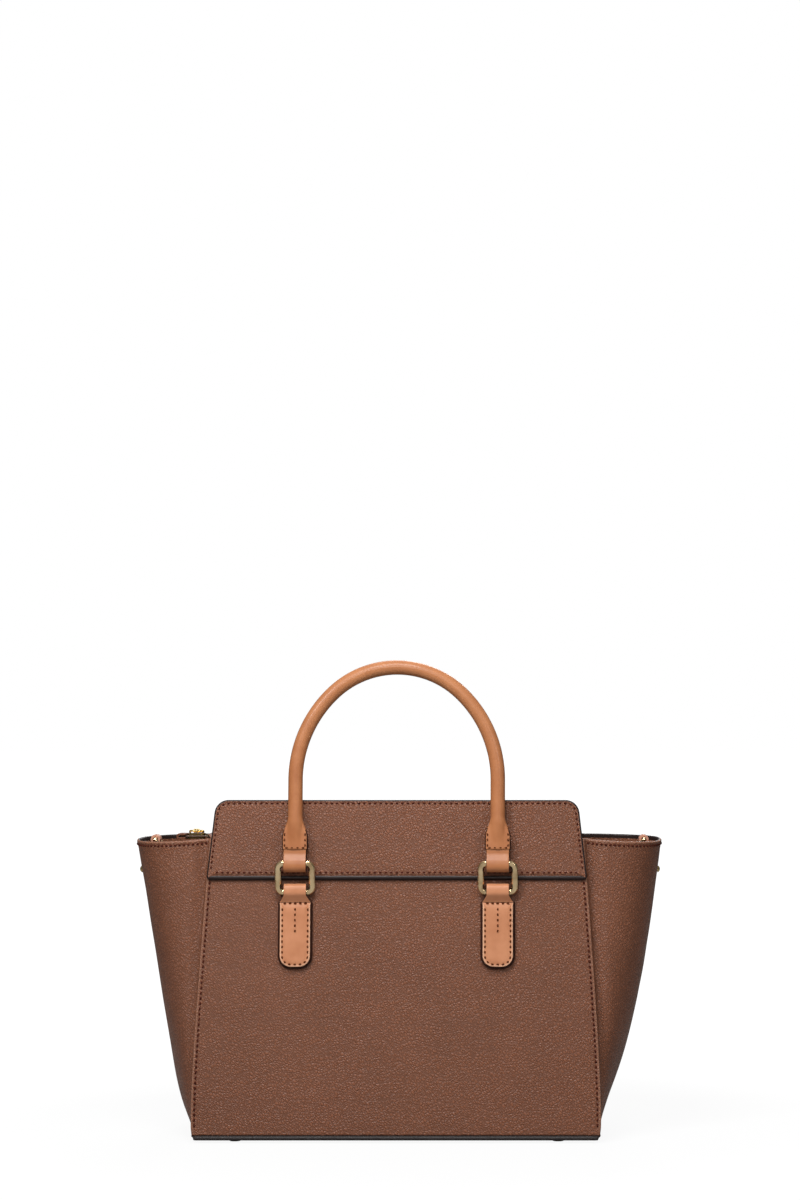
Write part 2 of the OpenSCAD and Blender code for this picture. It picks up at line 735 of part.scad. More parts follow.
module zip_puller() {
    eye_r = bail_r + run_gap + eye_t;
    shoulder = eye_r + puller_neck * 5 / 3;
    color(gold) translate([slider_rest, 0, zip_z + bail_z]) rotate([puller_rest, 0, 0])
        difference() {
            union() {
                translate([-eye_w / 2, 0, 0]) rotate([0, 90, 0]) cylinder(h = eye_w, r = eye_r);
                translate([-eye_w / 2, 0, -puller_t / 2]) cube([eye_w, eye_r + puller_neck, puller_t]);
                translate([0, 0, -puller_t / 2]) linear_extrude(puller_t) {
                    polygon([[-eye_w / 2, shoulder - eye_w], [eye_w / 2, shoulder - eye_w],
                        [puller_w / 2, shoulder], [puller_w / 2, puller_l - puller_w / 2],
                        [-puller_w / 2, puller_l - puller_w / 2], [-puller_w / 2, shoulder]]);
                    translate([0, puller_l - puller_w / 2]) circle(puller_w / 2);
                }
            }
            translate([-eye_w / 2 - cut, 0, 0]) rotate([0, 90, 0])
                cylinder(h = eye_w + 2 * cut, r = bail_r + run_gap);
            translate([0, puller_l - puller_w / 2, -puller_t]) linear_extrude(2 * puller_t)
                circle(puller_w / 4);
        }
}

// Strap loop on the right: a strap folded over the D-ring's bar, with its legs riveted together
module strap_loop() {
    color(tan_leather) translate([loop_x, 0, loop_z]) difference() {
        rotate([90, 0, 0]) translate([0, 0, -loop_w / 2]) linear_extrude(loop_w) difference() {
            union() {
                circle(loop_r);
                translate([-loop_t, -loop_legs]) square([2 * loop_t, loop_legs]);
            }
            circle(wire_bore);
        }
        translate([-loop_in, 0, -rivet_down]) rotate([0, 90, 0])
            cylinder(h = 2 * loop_in, r = rivet_r + seat_gap);
    }
}

module rivet() {
    inner = loop_x - loop_t - seat_gap;
    color(gold) translate([0, 0, rivet_z]) rotate([0, 90, 0]) {
        translate([0, 0, inner - rivet_cap]) cylinder(h = rivet_cap, r = rivet_head_r);
        translate([0, 0, inner - rivet_cap / 2])
            cylinder(h = rivet_out - inner + rivet_cap, r = rivet_r);
        translate([0, 0, rivet_out + seat_gap]) rotate_extrude() intersection() {
            translate([0, rivet_dome - rivet_dome_r]) circle(rivet_dome_r);
            square([rivet_head_r, rivet_dome + cut]);
        }
    }
}

module d_ring() {
    color(gold) translate([loop_x, 0, loop_z]) rotate([0, d_tilt, 0]) {
        translate([0, d_r, 0]) rotate([90, 0, 0]) cylinder(h = 2 * d_r, r = wire_r);
        for (sy = [-1, 1]) translate([0, sy * d_r, 0]) sphere(wire_r);
        rotate([0, 90, 0]) rotate([0, 0, -90]) rotate_extrude(angle = 180)
            translate([d_r, 0]) circle(wire_r);
    }
}

panel(false);  // front_panel
panel(true);  // back_panel
mirror([1, 0, 0]) gusset();  // left_gusset
gusset();  // right_gusset
base_panel();
base_board();
base_feet();
yoke(false);  // front_yoke
yoke(true);  // back_yoke
yoke_facing(false);  // front_yoke_facing
yoke_facing(true);  // back_yoke_facing
lining(false);  // front_lining
lining(true);  // back_lining
mirror([1, 0, 0]) gusset_lining();  // left_lining
gusset_lining();  // right_lining
base_lining();
slip_pocket();
chape(false, -1);  // front_left_chape
chape(false, 1);  // front_right_chape
chape(true, 1);  // back_left_chape
chape(true, -1);  // back_right_chape
ring(false, -1, front_ring_tilt);  // front_left_ring
ring(false, 1, front_ring_tilt);  // front_right_ring
ring(true, 1, back_ring_tilt);  // back_left_ring
ring(true, -1, back_ring_tilt);  // back_right_ring
handle(false, front_ring_tilt, front_grip_tilt);  // front_handle
handle(true, back_ring_tilt, back_grip_tilt);  // back_handle
handle_core(false, front_ring_tilt, front_grip_tilt);  // front_handle_core
handle_core(true, back_ring_tilt, back_grip_tilt);  // back_handle_core
zip_facing(false);  // front_zip_facing
zip_facing(true);  // back_zip_facing
front_zip_tape();
back_zip_tape();
front_zip_teeth();
back_zip_teeth();
zip_end_tab();
zip_slider();
zip_puller();
mirror([1, 0, 0]) strap_loop();  // left_strap_loop
strap_loop();  // right_strap_loop
mirror([1, 0, 0]) rivet();  // left_rivet
rivet();  // right_rivet
mirror([1, 0, 0]) d_ring();  // left_d_ring
d_ring();  // right_d_ring
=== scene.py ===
import bpy
import math
import numpy as np
from mathutils import Matrix, Vector, noise


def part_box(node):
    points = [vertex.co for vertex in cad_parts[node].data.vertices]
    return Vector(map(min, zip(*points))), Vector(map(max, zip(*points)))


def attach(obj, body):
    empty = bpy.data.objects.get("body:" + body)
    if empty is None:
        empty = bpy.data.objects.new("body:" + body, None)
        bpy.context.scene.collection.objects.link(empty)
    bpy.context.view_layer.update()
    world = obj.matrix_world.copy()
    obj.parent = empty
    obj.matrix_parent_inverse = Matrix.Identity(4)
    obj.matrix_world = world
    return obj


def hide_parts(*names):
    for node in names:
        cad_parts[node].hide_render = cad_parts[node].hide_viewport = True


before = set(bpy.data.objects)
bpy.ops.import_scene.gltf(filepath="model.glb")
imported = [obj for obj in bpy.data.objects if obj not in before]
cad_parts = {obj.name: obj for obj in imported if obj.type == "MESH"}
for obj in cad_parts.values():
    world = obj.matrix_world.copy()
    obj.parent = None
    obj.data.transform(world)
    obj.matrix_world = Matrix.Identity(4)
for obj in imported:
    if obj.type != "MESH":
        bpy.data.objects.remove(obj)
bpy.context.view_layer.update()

# Camera
# A long lens stands two metres in front of the bag, square to it and at the height of the
# handle. It is shifted, so that the bag stands in the middle of the picture's width, below the
# centre, and level edges stay level.
IMAGE_H = 1200
HORIZON_ROW = 726
CAMERA_AT = (0.088, -2.06, 0.290)
LENS = 85.95
SENSOR = 36


def show(name, data):
    """An object made of its data, in the scene."""
    made = bpy.data.objects.new(name, data)
    bpy.context.scene.collection.objects.link(made)
    return made


camera = show("camera", bpy.data.cameras.new("camera"))
camera.location = CAMERA_AT
camera.rotation_euler = (math.pi / 2, 0, 0)
camera.data.lens = LENS
camera.data.sensor_width = SENSOR
camera.data.shift_x = CAMERA_AT[0] / CAMERA_AT[1] * LENS / SENSOR
camera.data.shift_y = (HORIZON_ROW - IMAGE_H / 2) / IMAGE_H
bpy.context.scene.camera = camera
bpy.context.scene.view_settings.view_transform = "Standard"

# Floor and light
# The bag stands on a white table that runs on into white. Four soft boxes light its front, the
# left one strongest, so that raised edges throw a soft shadow to the right. One overhead and one
# behind pick out the handle and the rims.
TABLE_HALF = 30.0
# Share of the table's glow near the bag, and the distances over which it grows to all of it
TABLE_GLOW = 0.84
GLOW_FROM = 0.22
GLOW_TO = 0.7
# Place in metres, width in metres and power in watts of each soft box, and where they point
SOFT_BOXES = [
    ((-0.75, -1.05, 1.1), 0.26, 11.6),
    ((0.95, -1.2, 0.8), 0.4, 5.2),
    ((-0.05, -0.5, 0.85), 0.28, 5.6),
    ((-0.15, -2.3, 1.1), 0.2, 10.5),
    ((0.0, 0.7, 1.2), 0.7, 3.5),
    ((0.3, 1.9, 1.4), 0.8, 18.0),
]
LIT_POINT = Vector((0, 0, 0.12))
# Strength of the room's own light from below and from above
ROOM_LOW = 0.05
ROOM_HIGH = 0.30


def srgb(code):
    """A colour written as an sRGB hex code, made linear."""
    parts = [int(code[i:i + 2], 16) / 255 for i in (1, 3, 5)]
    return [c / 12.92 if c <= 0.04045 else ((c + 0.055) / 1.055) ** 2.4 for c in parts] + [1]


def wire(tree, made, values, links):
    """Sets a node's sockets to values and feeds others from sockets. A node that stands for a
    socket feeds it from its first output in use."""
    for socket, value in values.items():
        made.inputs[socket].default_value = value
    for socket, source in links.items():
        if isinstance(source, bpy.types.Node):
            source = next(output for output in source.outputs if output.enabled)
        tree.links.new(source, made.inputs[socket])
    return made


def node(tree, kind, values={}, links={}, **settings):
    """Adds a shader node with its settings, its sockets' values and what feeds it."""
    made = tree.nodes.new("ShaderNode" + kind)
    for key, value in settings.items():
        setattr(made, key, value)
    return wire(tree, made, values, links)


def new_material(name):
    """A material, its tree of nodes, its surface shader, and the place on the object."""
    made = bpy.data.materials.new(name)
    made.use_nodes = True
    tree = made.node_tree
    return made, tree, tree.nodes["Principled BSDF"], node(tree, "TexCoord").outputs["Object"]


# Matt white table top. It counts as grey for the light that it throws back, so that leather and
# metal stay rich, and glows for the camera alone, so that only the bag's shadow shows on it.
white, tree, shader, place = new_material("white_table")
seen = node(tree, "LightPath").outputs
away = node(tree, "VectorMath", links={0: place}, operation="LENGTH")
fade = node(tree, "MapRange", {"From Min": GLOW_FROM, "From Max": GLOW_TO, "To Min": TABLE_GLOW},
            {"Value": away}, interpolation_type="SMOOTHSTEP")
plain = node(tree, "Math", links={0: seen["Is Camera Ray"], 1: fade}, operation="MULTIPLY")
paper = node(tree, "Mix", {"A": srgb("#9a9a9a"), "B": srgb("#909090")},
             {"Factor": seen["Is Glossy Ray"]}, data_type="RGBA")
wire(tree, shader, {"Roughness": 0.9, "Specular IOR Level": 0.1}, {"Base Color": paper})
glow = node(tree, "Emission", {"Color": (1, 1, 1, 1), "Strength": 1.1})
blend = node(tree, "MixShader", links={0: plain, 1: shader, 2: glow})
wire(tree, tree.nodes["Material Output"], {}, {"Surface": blend})
table_mesh = bpy.data.meshes.new("table")
table_mesh.from_pydata([(-TABLE_HALF, -TABLE_HALF, 0), (TABLE_HALF, -TABLE_HALF, 0),
                        (TABLE_HALF, TABLE_HALF, 0), (-TABLE_HALF, TABLE_HALF, 0)],
                       [], [(0, 1, 2, 3)])
table = show("table", table_mesh)
table.data.materials.append(white)
for number, (at, size, power) in enumerate(SOFT_BOXES):
    lamp = show(f"soft_box_{number}", bpy.data.lights.new(f"soft_box_{number}", "AREA"))
    lamp.data.shape = "SQUARE"
    lamp.data.size = size
    lamp.data.energy = power
    lamp.location = at
    lamp.visible_camera = False
    lamp.rotation_euler = (LIT_POINT - Vector(at)).to_track_quat("-Z", "Y").to_euler()
# White behind the bag. Metal and leather mirror a grey room that is darker below, so that gold
# keeps its contrast and leather isn't washed out.
world = bpy.data.worlds.new("white_room")
bpy.context.scene.world = world
world.use_nodes = True
tree = world.node_tree
seen = node(tree, "LightPath").outputs
shown = node(tree, "Math", links={0: seen["Is Camera Ray"], 1: seen["Is Transmission Ray"]},
             operation="MAXIMUM")
height = node(tree, "SeparateXYZ", links={0: node(tree, "TexCoord").outputs["Generated"]})
room = node(tree, "MapRange", {"From Min": -0.3, "To Min": ROOM_LOW, "To Max": ROOM_HIGH},
            {"Value": height.outputs["Z"]})
strength = node(tree, "Mix", {"B": 1.0}, {"Factor": shown, "A": room})
wire(tree, tree.nodes["Background"], {"Color": (1, 1, 1, 1)}, {"Strength": strength})

# Front and back panel
# Stiffened panels of pebbled leather that lean in towards the mouth. The side edges are turned
# over the gusset's seam, which leaves a raised lip outside a row of brown stitches.
MM = 0.001
RIM_Z = 211 * MM
BASE_TOP = 5.4 * MM
BASE_D = 140 * MM
RIM_D = 100 * MM
LEAN = math.atan((BASE_D - RIM_D) / 2 / RIM_Z)
SLOPE_FOOT = BASE_TOP / math.cos(LEAN)
SLOPE_TOP = RIM_Z / math.cos(LEAN)
PANEL_T = 2.4 * MM
FOOT_HALF = 142 * MM
RIM_HALF = 131.5 * MM
SIDE_BOW = 2.3 * MM
BOW_LOW = 0.55
PANEL_SEAM = 2.6 * MM
STITCH_PITCH = 3.7 * MM
STITCH_LEN = 2.5 * MM
STITCH_W = 1.5 * MM
# Inset from the cut edge and height above the face in millimetres, and paleness where there is
# any, a painted highlight along the crest of the raised lip
PANEL_LIP = [(0.5, -2.4), (0.0, -2.2), (0.0, -0.8, 0.2), (0.2, -0.2, 0.8), (0.7, 0.18, 1),
             (1.3, 0.2, 0.5), (1.9, 0.04), (2.6, -0.16), (3.3, -0.02), (4.4, 0.04), (8, 0.06)]
PANEL_EDGE = [(0.5, -2.4), (0.0, -2.2), (0.0, -0.8), (0.2, -0.3), (0.7, -0.04), (1.3, 0), (1.9, 0),
              (2.6, 0), (3.3, 0.02), (4.4, 0.04), (8, 0.06)]
# Where along a stitch each of its rings stands, how thick it is, and how high it lies
STITCH_RINGS = [(-0.5, 0.25, -0.9), (-0.38, 0.75, -0.2), (-0.15, 1, 0.25), (0.15, 1, 0.25),
                (0.38, 0.75, -0.2), (0.5, 0.25, -0.9)]
STITCH_SECTORS = 6
FACES = (("front", False), ("back", True))
SIDES = (("left", -1), ("right", 1))


def pebbled_leather(name, colour, deep, rub_and_highlight, grain=1.8, relief=0.26, gloss=0.42):
    """Split leather with a coloured coat, embossed with slanting pebbles. It looks even and dull,
    with small soft lights on the pebbles. Its colour is darker in the lines between them, as
    painted shade in those hollows, and paler where the mesh marks it, for rubbing and for painted
    highlights on raised edges and folds. Grain and relief are in millimetres, and coarser than the
    real ones, so that they show."""
    made, tree, shader, place = new_material(name)
    drift = node(tree, "TexNoise", {"Scale": 0.45 / (grain * MM)}, {"Vector": place})
    bent = node(tree, "VectorMath", {1: (grain * MM * 0.9,) * 3},
                {0: drift.outputs["Color"], 2: place}, operation="MULTIPLY_ADD")
    slanted = node(tree, "Mapping", {"Rotation": (0, math.radians(-40), 0),
                                     "Scale": (0.85, 1, 1.3)}, {"Vector": bent},
                   vector_type="TEXTURE")
    cells = node(tree, "TexVoronoi", {"Scale": 1 / (grain * MM), "Randomness": 0.9},
                 {"Vector": slanted}, feature="DISTANCE_TO_EDGE")
    crown = node(tree, "MapRange", {"From Max": 0.3}, {"Value": cells},
                 interpolation_type="SMOOTHSTEP")
    fine = node(tree, "TexNoise", {"Scale": 2.2 / (grain * MM), "Detail": 3.0}, {"Vector": place})
    height = node(tree, "Math", {1: 0.3}, {0: fine, 2: crown}, operation="MULTIPLY_ADD")
    bump = node(tree, "Bump", {"Distance": relief * MM}, {"Height": height})
    # Darker towards the edges of the cells: painted shade in the lines between the pebbles
    body = node(tree, "Mix", {"A": srgb(deep), "B": srgb(colour)}, {"Factor": crown},
                data_type="RGBA")
    broad = node(tree, "TexNoise", {"Scale": 22.0, "Detail": 3.0, "Roughness": 0.6},
                 {"Vector": place})
    shade = node(tree, "MapRange", {"From Min": 0.3, "From Max": 0.7, "To Min": 0.93,
                                    "To Max": 1.06}, {"Value": broad})
    toned = node(tree, "VectorMath", links={0: body, "Scale": shade}, operation="SCALE")
    wear_and_highlight = node(tree, "Attribute", attribute_name="wear_and_highlight").outputs["Fac"]
    worn = node(tree, "Math", {1: 0.4}, {0: wear_and_highlight}, operation="MULTIPLY")
    final = node(tree, "Mix", {"B": srgb(rub_and_highlight)}, {"Factor": worn, "A": toned}, data_type="RGBA")
    dull = node(tree, "MapRange", {"To Min": gloss + 0.16, "To Max": gloss}, {"Value": crown})
    wire(tree, shader, {"IOR": 1.48, "Specular IOR Level": 0.22, "Coat Weight": 0.25,
                        "Coat Roughness": 0.38},
         {"Base Color": final, "Roughness": dull, "Normal": bump, "Coat Normal": bump})
    return made


def edge_coat(name, colour, marks, relief, gloss, shine):
    """Acrylic edge paint, brushed on. It is dark and nearly smooth, with faint brush marks that
    break up its low shine."""
    made, tree, shader, place = new_material(name)
    brush = node(tree, "TexNoise", {"Scale": marks, "Detail": 3.0}, {"Vector": place})
    uneven = node(tree, "Bump", {"Distance": relief * MM}, {"Height": brush})
    wire(tree, shader, {"Base Color": srgb(colour), "Roughness": gloss,
                        "Specular IOR Level": shine}, {"Normal": uneven})
    return made


def bonded_thread(name, colour):
    """Bonded polyester thread, twisted. It looks ribbed and nearly matt. The twist is drawn
    coarser than the real one, so that it shows."""
    made, tree, shader, place = new_material(name)
    twist = node(tree, "TexWave", {"Scale": 900.0, "Distortion": 1.5}, {"Vector": place},
                 bands_direction="DIAGONAL").outputs["Fac"]
    tone = node(tree, "MapRange", {"To Min": 0.7, "To Max": 1.15}, {"Value": twist})
    lit = node(tree, "VectorMath", {0: srgb(colour)[:3]}, {"Scale": tone}, operation="SCALE")
    bump = node(tree, "Bump", {"Distance": 0.08 * MM}, {"Height": twist})
    wire(tree, shader, {"Roughness": 0.75, "Specular IOR Level": 0.15},
         {"Base Color": lit, "Normal": bump})
    return made


def piece(name, shape, materials, body, replaces=()):
    """Makes a mesh from a shape, which is its points and faces, and may go on with each face's
    material and each point's wear and painted highlight. Gives it its materials and lets it ride
    on a body."""
    points, faces, index, wear_and_highlight = (*shape, None, None)[:4]
    mesh = bpy.data.meshes.new(name)
    mesh.from_pydata([tuple(p) for p in points], [], [tuple(int(i) for i in f) for f in faces])
    for material in materials:
        mesh.materials.append(material)
    if index is not None:
        mesh.polygons.foreach_set("material_index", np.asarray(index, np.int32))
    mesh.polygons.foreach_set("use_smooth", np.ones(len(mesh.polygons), bool))
    if wear_and_highlight is not None:
        worn = mesh.attributes.new("wear_and_highlight", "FLOAT", "POINT")
        worn.data.foreach_set("value", np.asarray(wear_and_highlight, np.float32))
    mesh.validate()
    made = show(name, mesh)
    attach(made, body)
    if replaces:
        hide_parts(*replaces)


def unit(ways):
    """Directions, each made one long."""
    return ways / np.linalg.norm(ways, axis=1, keepdims=True)


def run_of(line):
    """Distance along a line to each of its points."""
    return np.concatenate([[0], np.cumsum(np.linalg.norm(np.diff(line, axis=0), axis=1))])


def along(points, count, crowd=0.0):
    """Points at even steps along a line, or closer together towards its ends."""
    points = np.asarray(points, float)
    run = run_of(points)
    t = np.linspace(0, 1, count + 1)
    t = (t - crowd * np.sin(2 * math.pi * t) / (2 * math.pi)) * run[-1]
    return np.stack([np.interp(t, run, points[:, k]) for k in range(points.shape[1])], 1)


def four_sides(corners, count_x, count_y):
    """The four straight sides between corners, with a number of steps along each."""
    return [along([corners[k], corners[(k + 1) % 4]], (count_x, count_y)[k % 2])
            for k in range(4)]


def inset(sides, depths):
    """The four sides of an outline, drawn anticlockwise, moved inwards by a depth for each point.
    The points are drawn together along each side, so that the corners stay clean."""
    ways = []
    for side in sides:
        step = np.diff(side, axis=0)
        ways.append(unit(np.concatenate([step[:1], (step[:-1] + step[1:]) / 2, step[-1:]])))
    moved = []
    for k, (side, way, depth) in enumerate(zip(sides, ways, depths)):
        turns = ((ways[k - 1][-1], way[0]), (way[-1], ways[(k + 1) % 4][0]))
        first, last = [math.tan(math.atan2(a[0] * b[1] - a[1] * b[0], a @ b) / 2)
                       for a, b in turns]
        run = run_of(side)
        t = run / run[-1]
        depth = np.broadcast_to(depth, len(side))
        shift = depth * (first * (1 - t) ** 3 - last * t ** 3)
        inward = np.stack([-way[:, 1], way[:, 0]], 1)
        moved.append(side + inward * depth[:, None] + way * shift[:, None])
    return moved


def patch(ring, m, n):
    """Fills a ring of 2 (m + n) points, drawn anticlockwise from its lower left corner, with a
    grid that is m quads wide and n quads high. Returns the points by row."""
    low, right = ring[:m + 1], ring[m:m + n + 1]
    top = ring[m + n:2 * m + n + 1][::-1]
    left = np.concatenate([ring[2 * m + n:], ring[:1]])[::-1]
    u = np.linspace(0, 1, m + 1)[None, :, None]
    v = np.linspace(0, 1, n + 1)[:, None, None]
    corners = ((1 - u) * (1 - v) * low[0] + u * (1 - v) * low[-1]
               + (1 - u) * v * top[0] + u * v * top[-1])
    return ((1 - v) * low[None] + v * top[None] + (1 - u) * left[:, None] + u * right[:, None]
            - corners)


def cut_leather(sides, lips, painted, place):
    """A flat piece of leather. Its four sides are drawn anticlockwise from the lower left corner.
    Each side's lip gives its rings from the back, round the edge and in over the face. The first
    painted rings are edge paint. Returns points, faces, each face's material, and wear and painted
    highlight."""
    sides = [np.asarray(side, float) for side in sides]
    lips = [np.array([(*ring, 0)[:3] for ring in lip], float) for lip in lips]
    m, n = len(sides[0]) - 1, len(sides[1]) - 1
    count = 2 * (m + n)
    table = []
    for k, side in enumerate(sides):
        steps = np.repeat(lips[k][None], len(side), 0)
        steps[0] = (lips[k] + lips[k - 1]) / 2
        steps[-1] = (lips[k] + lips[(k + 1) % 4]) / 2
        table.append(steps)
    flat, wear_and_highlight = [], []
    rings = len(lips[0])
    for k in range(rings):
        ring = inset(sides, [steps[:, k, 0] * MM for steps in table])
        rise = np.concatenate([steps[:-1, k] for steps in table])
        flat.append(np.column_stack([np.concatenate([side[:-1] for side in ring]),
                                     rise[:, 1] * MM]))
        wear_and_highlight.append(rise[:, 2])
    faces, index = [], []
    for k in range(rings - 1):
        for i in range(count):
            a, b = k * count + i, k * count + (i + 1) % count
            faces.append((a, b, b + count, a + count))
            index.append(1 if k < painted else 0)
    total = rings * count
    for which, turned in ((rings - 1, 1), (0, -1)):
        ids = np.zeros((n + 1, m + 1), int)
        edge = [(0, i) for i in range(m)] + [(j, m) for j in range(n)]
        edge += [(n, m - i) for i in range(m)] + [(n - j, 0) for j in range(n)]
        for i, (row, col) in enumerate(edge):
            ids[row, col] = which * count + i
        inner = patch(flat[which], m, n)[1:-1, 1:-1].reshape(-1, 3)
        ids[1:-1, 1:-1] = np.arange(len(inner)).reshape(n - 1, m - 1) + total
        total += len(inner)
        flat.append(inner)
        wear_and_highlight.append(np.zeros(len(inner)))
        for row in range(n):
            for col in range(m):
                faces.append((ids[row, col], ids[row, col + 1], ids[row + 1, col + 1],
                              ids[row + 1, col])[::turned])
                index.append(0)
    return [place(*p) for p in np.concatenate(flat)], faces, index, np.concatenate(wear_and_highlight)


def tube_faces(rings, size, first=0):
    """Quads between the rings of a tube, and a face over each of its ends."""
    faces = []
    for k in range(rings - 1):
        for j in range(size):
            a, b = first + k * size + j, first + k * size + (j + 1) % size
            faces.append((a, b, b + size, a + size))
    start = range(first, first + size)
    return faces + [tuple(start)[::-1], tuple(j + (rings - 1) * size for j in start)]


def sew(name, line, ups, thread, body, pitch=STITCH_PITCH, length=STITCH_LEN,
        width=STITCH_W, lift=0.12 * MM, slant=0.0):
    """A row of stitches along a line of points, each a short thread that dives at both ends."""
    line = np.asarray(line, float)
    ups = np.broadcast_to(np.asarray(ups, float), line.shape)
    run = run_of(line)
    count = max(1, round(run[-1] / pitch))
    at = (np.arange(count) + 0.5) * run[-1] / count
    centre, ahead, behind, up = [
        np.stack([np.interp(np.clip(at + d, 0, run[-1]), run, src[:, k]) for k in range(3)], 1)
        for d, src in ((0, line), (0.3 * MM, line), (-0.3 * MM, line), (0, ups))]
    up, forth = unit(up), unit(ahead - behind)
    forth = forth * math.cos(slant) + np.cross(up, forth) * math.sin(slant)
    side = np.cross(up, forth)
    points, faces = [], []
    for c, t, s, u in zip(centre, forth, side, up):
        faces += tube_faces(len(STITCH_RINGS), STITCH_SECTORS, len(points))
        for share, fat, rise in STITCH_RINGS:
            for k in range(STITCH_SECTORS):
                turn = 2 * math.pi * k / STITCH_SECTORS
                points.append(c + t * length * share + s * width / 2 * fat * math.cos(turn)
                              + u * (lift + width / 2 * (rise + fat * math.sin(turn))))
    piece(name, (points, faces), [thread], body)


def half_width(z):
    """Half the width of a panel at a height. Its sides bow out a little above the foot."""
    share = (z - BASE_TOP) / (RIM_Z - BASE_TOP)
    bow = SIDE_BOW * np.sin(math.pi * np.clip(share, 0, 1) ** BOW_LOW)
    return FOOT_HALF - (FOOT_HALF - RIM_HALF) * share + bow


def on_slope(back):
    """Maps across, up the slope and outwards to the frame, on the front or the back panel."""
    turn = -1 if back else 1

    def place(x, s, out):
        y = -BASE_D / 2 - out * math.cos(LEAN) + s * math.sin(LEAN)
        return (turn * x, turn * y, out * math.sin(LEAN) + s * math.cos(LEAN))
    return place


def outward(back):
    """Direction that the front or back panel faces."""
    turn = 1 if back else -1
    return np.array([0, turn * math.cos(LEAN), math.sin(LEAN)])


def waver(at, height):
    """How far hand-laid leather lies off its even face, for a height in millimetres."""
    return noise.noise(Vector(at)) * height * MM


brown = pebbled_leather("pebbled_leather", "#754730", "#5f3926", "#9c725c")
edge_paint = edge_coat("edge_paint", "#1f1310", 500.0, 0.12, 0.42, 0.22)
thread_brown = bonded_thread("brown_thread", "#45190c")
for side_name, back in FACES:
    place = on_slope(back)

    def soft(x, s, out, place=place, back=back):
        sag = waver((x * 14, s * 14, 3.0 + back), 0.35)
        return place(x, s, out + (sag if out > -PANEL_T / 2 else 0))
    right = [(half_width(s * math.cos(LEAN)), s) for s in np.linspace(SLOPE_FOOT, SLOPE_TOP, 41)]
    left = [(-x, s) for x, s in right[::-1]]
    sides = [along([left[-1], right[0]], 40), right, along([right[-1], left[0]], 40), left]
    piece(f"{side_name}_panel_leather",
          cut_leather(sides, [PANEL_EDGE, PANEL_LIP] * 2, 0, soft),
          [brown], "bag", [f"{side_name}_panel"])
    for end_name, sx in SIDES:
        row = [place(sx * (x - PANEL_SEAM), s, -0.08 * MM) for x, s in right[1:]]
        sew(f"{side_name}_panel_stitches_{end_name}", row, outward(back), thread_brown, "bag",
            width=1.3 * MM, slant=0.12 * sx)

# Yokes
# A second layer of leather, sewn over the top of each panel, that stands up past the rim with a
# facing behind it. Its edge is painted dark, and its foot is turned into a round dark bead.
YOKE_LOW = 182 * MM / math.cos(LEAN)
YOKE_T = 2.6 * MM
YOKE_HALF = 133.5 * MM
YOKE_ROUND = 10 * MM
YOKE_FOOT_ROUND = 3 * MM
YOKE_RISE = 28.5 * MM
YOKE_SETTLE = 1.5 * MM
BACK_YOKE_DROP = 3 * MM
# Lean of the yoke's sides, from how far they come in over their height
YOKE_SIDE = math.atan(6.6 / 57.5)
YOKE_SEAM = 2.5 * MM
YOKE_FOOT_SEAM = 5.2 * MM
YOKE_ROW_LOW = YOKE_LOW + 6.5 * MM
# Steps along the foot, a side and the top, and how much they crowd towards the ends
YOKE_STEPS = ((90, 0.6), (30, 0.7), (90, 0.8), (30, 0.7))
YOKE_EDGE = [(0.4, -2.6), (0.05, -2.3), (0.0, -1.2), (0.08, -0.5), (0.3, -0.16), (0.75, 0.0),
             (1.1, 0.04), (1.5, 0.06), (2.0, -0.06), (2.5, -0.16), (3.0, -0.04), (4.4, 0.05),
             (8, 0.06)]
YOKE_BEAD = [(0.4, -2.6), (0.0, -2.3), (0.0, -1.2), (0.4, -0.45), (1.1, -0.02), (2.0, 0.05),
             (2.9, -0.25), (3.3, -0.7), (3.5, -0.2), (4.1, 0.04), (5.2, 0.02), (6.2, 0.05),
             (8, 0.06)]
FACING_EDGE = [(0.3, -2.4), (0.0, -2.2), (0.0, -0.6), (0.2, -0.2), (0.8, 0.0), (2.5, 0.0),
               (4.0, 0.04)]


def round_topped(foot_half, foot_s, top_s):
    """Four sides of a yoke with a straight foot, sides that lean in, and round upper corners."""
    r = YOKE_ROUND
    xc = foot_half - (r + (top_s - r - foot_s) * math.sin(YOKE_SIDE)) / math.cos(YOKE_SIDE)
    arc = [(xc + r * math.cos(t), top_s - r + r * math.sin(t))
           for t in np.linspace(YOKE_SIDE, math.pi / 2, 15)]
    up = [(foot_half, foot_s)] + arc[:8]
    top = arc[7:] + [(-x, s) for x, s in arc[7:][::-1]]
    ways = [[(-foot_half, foot_s), (foot_half, foot_s)], up, top, [(-x, s) for x, s in up[::-1]]]
    return [along(way, *steps) for way, steps in zip(ways, YOKE_STEPS)]


def off_corner(x, s):
    """Draws the points near a yoke's lower corner in, so that the corner is round."""
    r = YOKE_FOOT_ROUND
    a, b = r - (YOKE_HALF - abs(x)), r - (s - YOKE_LOW)
    if min(a, b) <= 0:
        return x, s
    pull = max(a, b) / math.hypot(a, b)
    return math.copysign(YOKE_HALF - r + a * pull, x), YOKE_LOW + r - b * pull


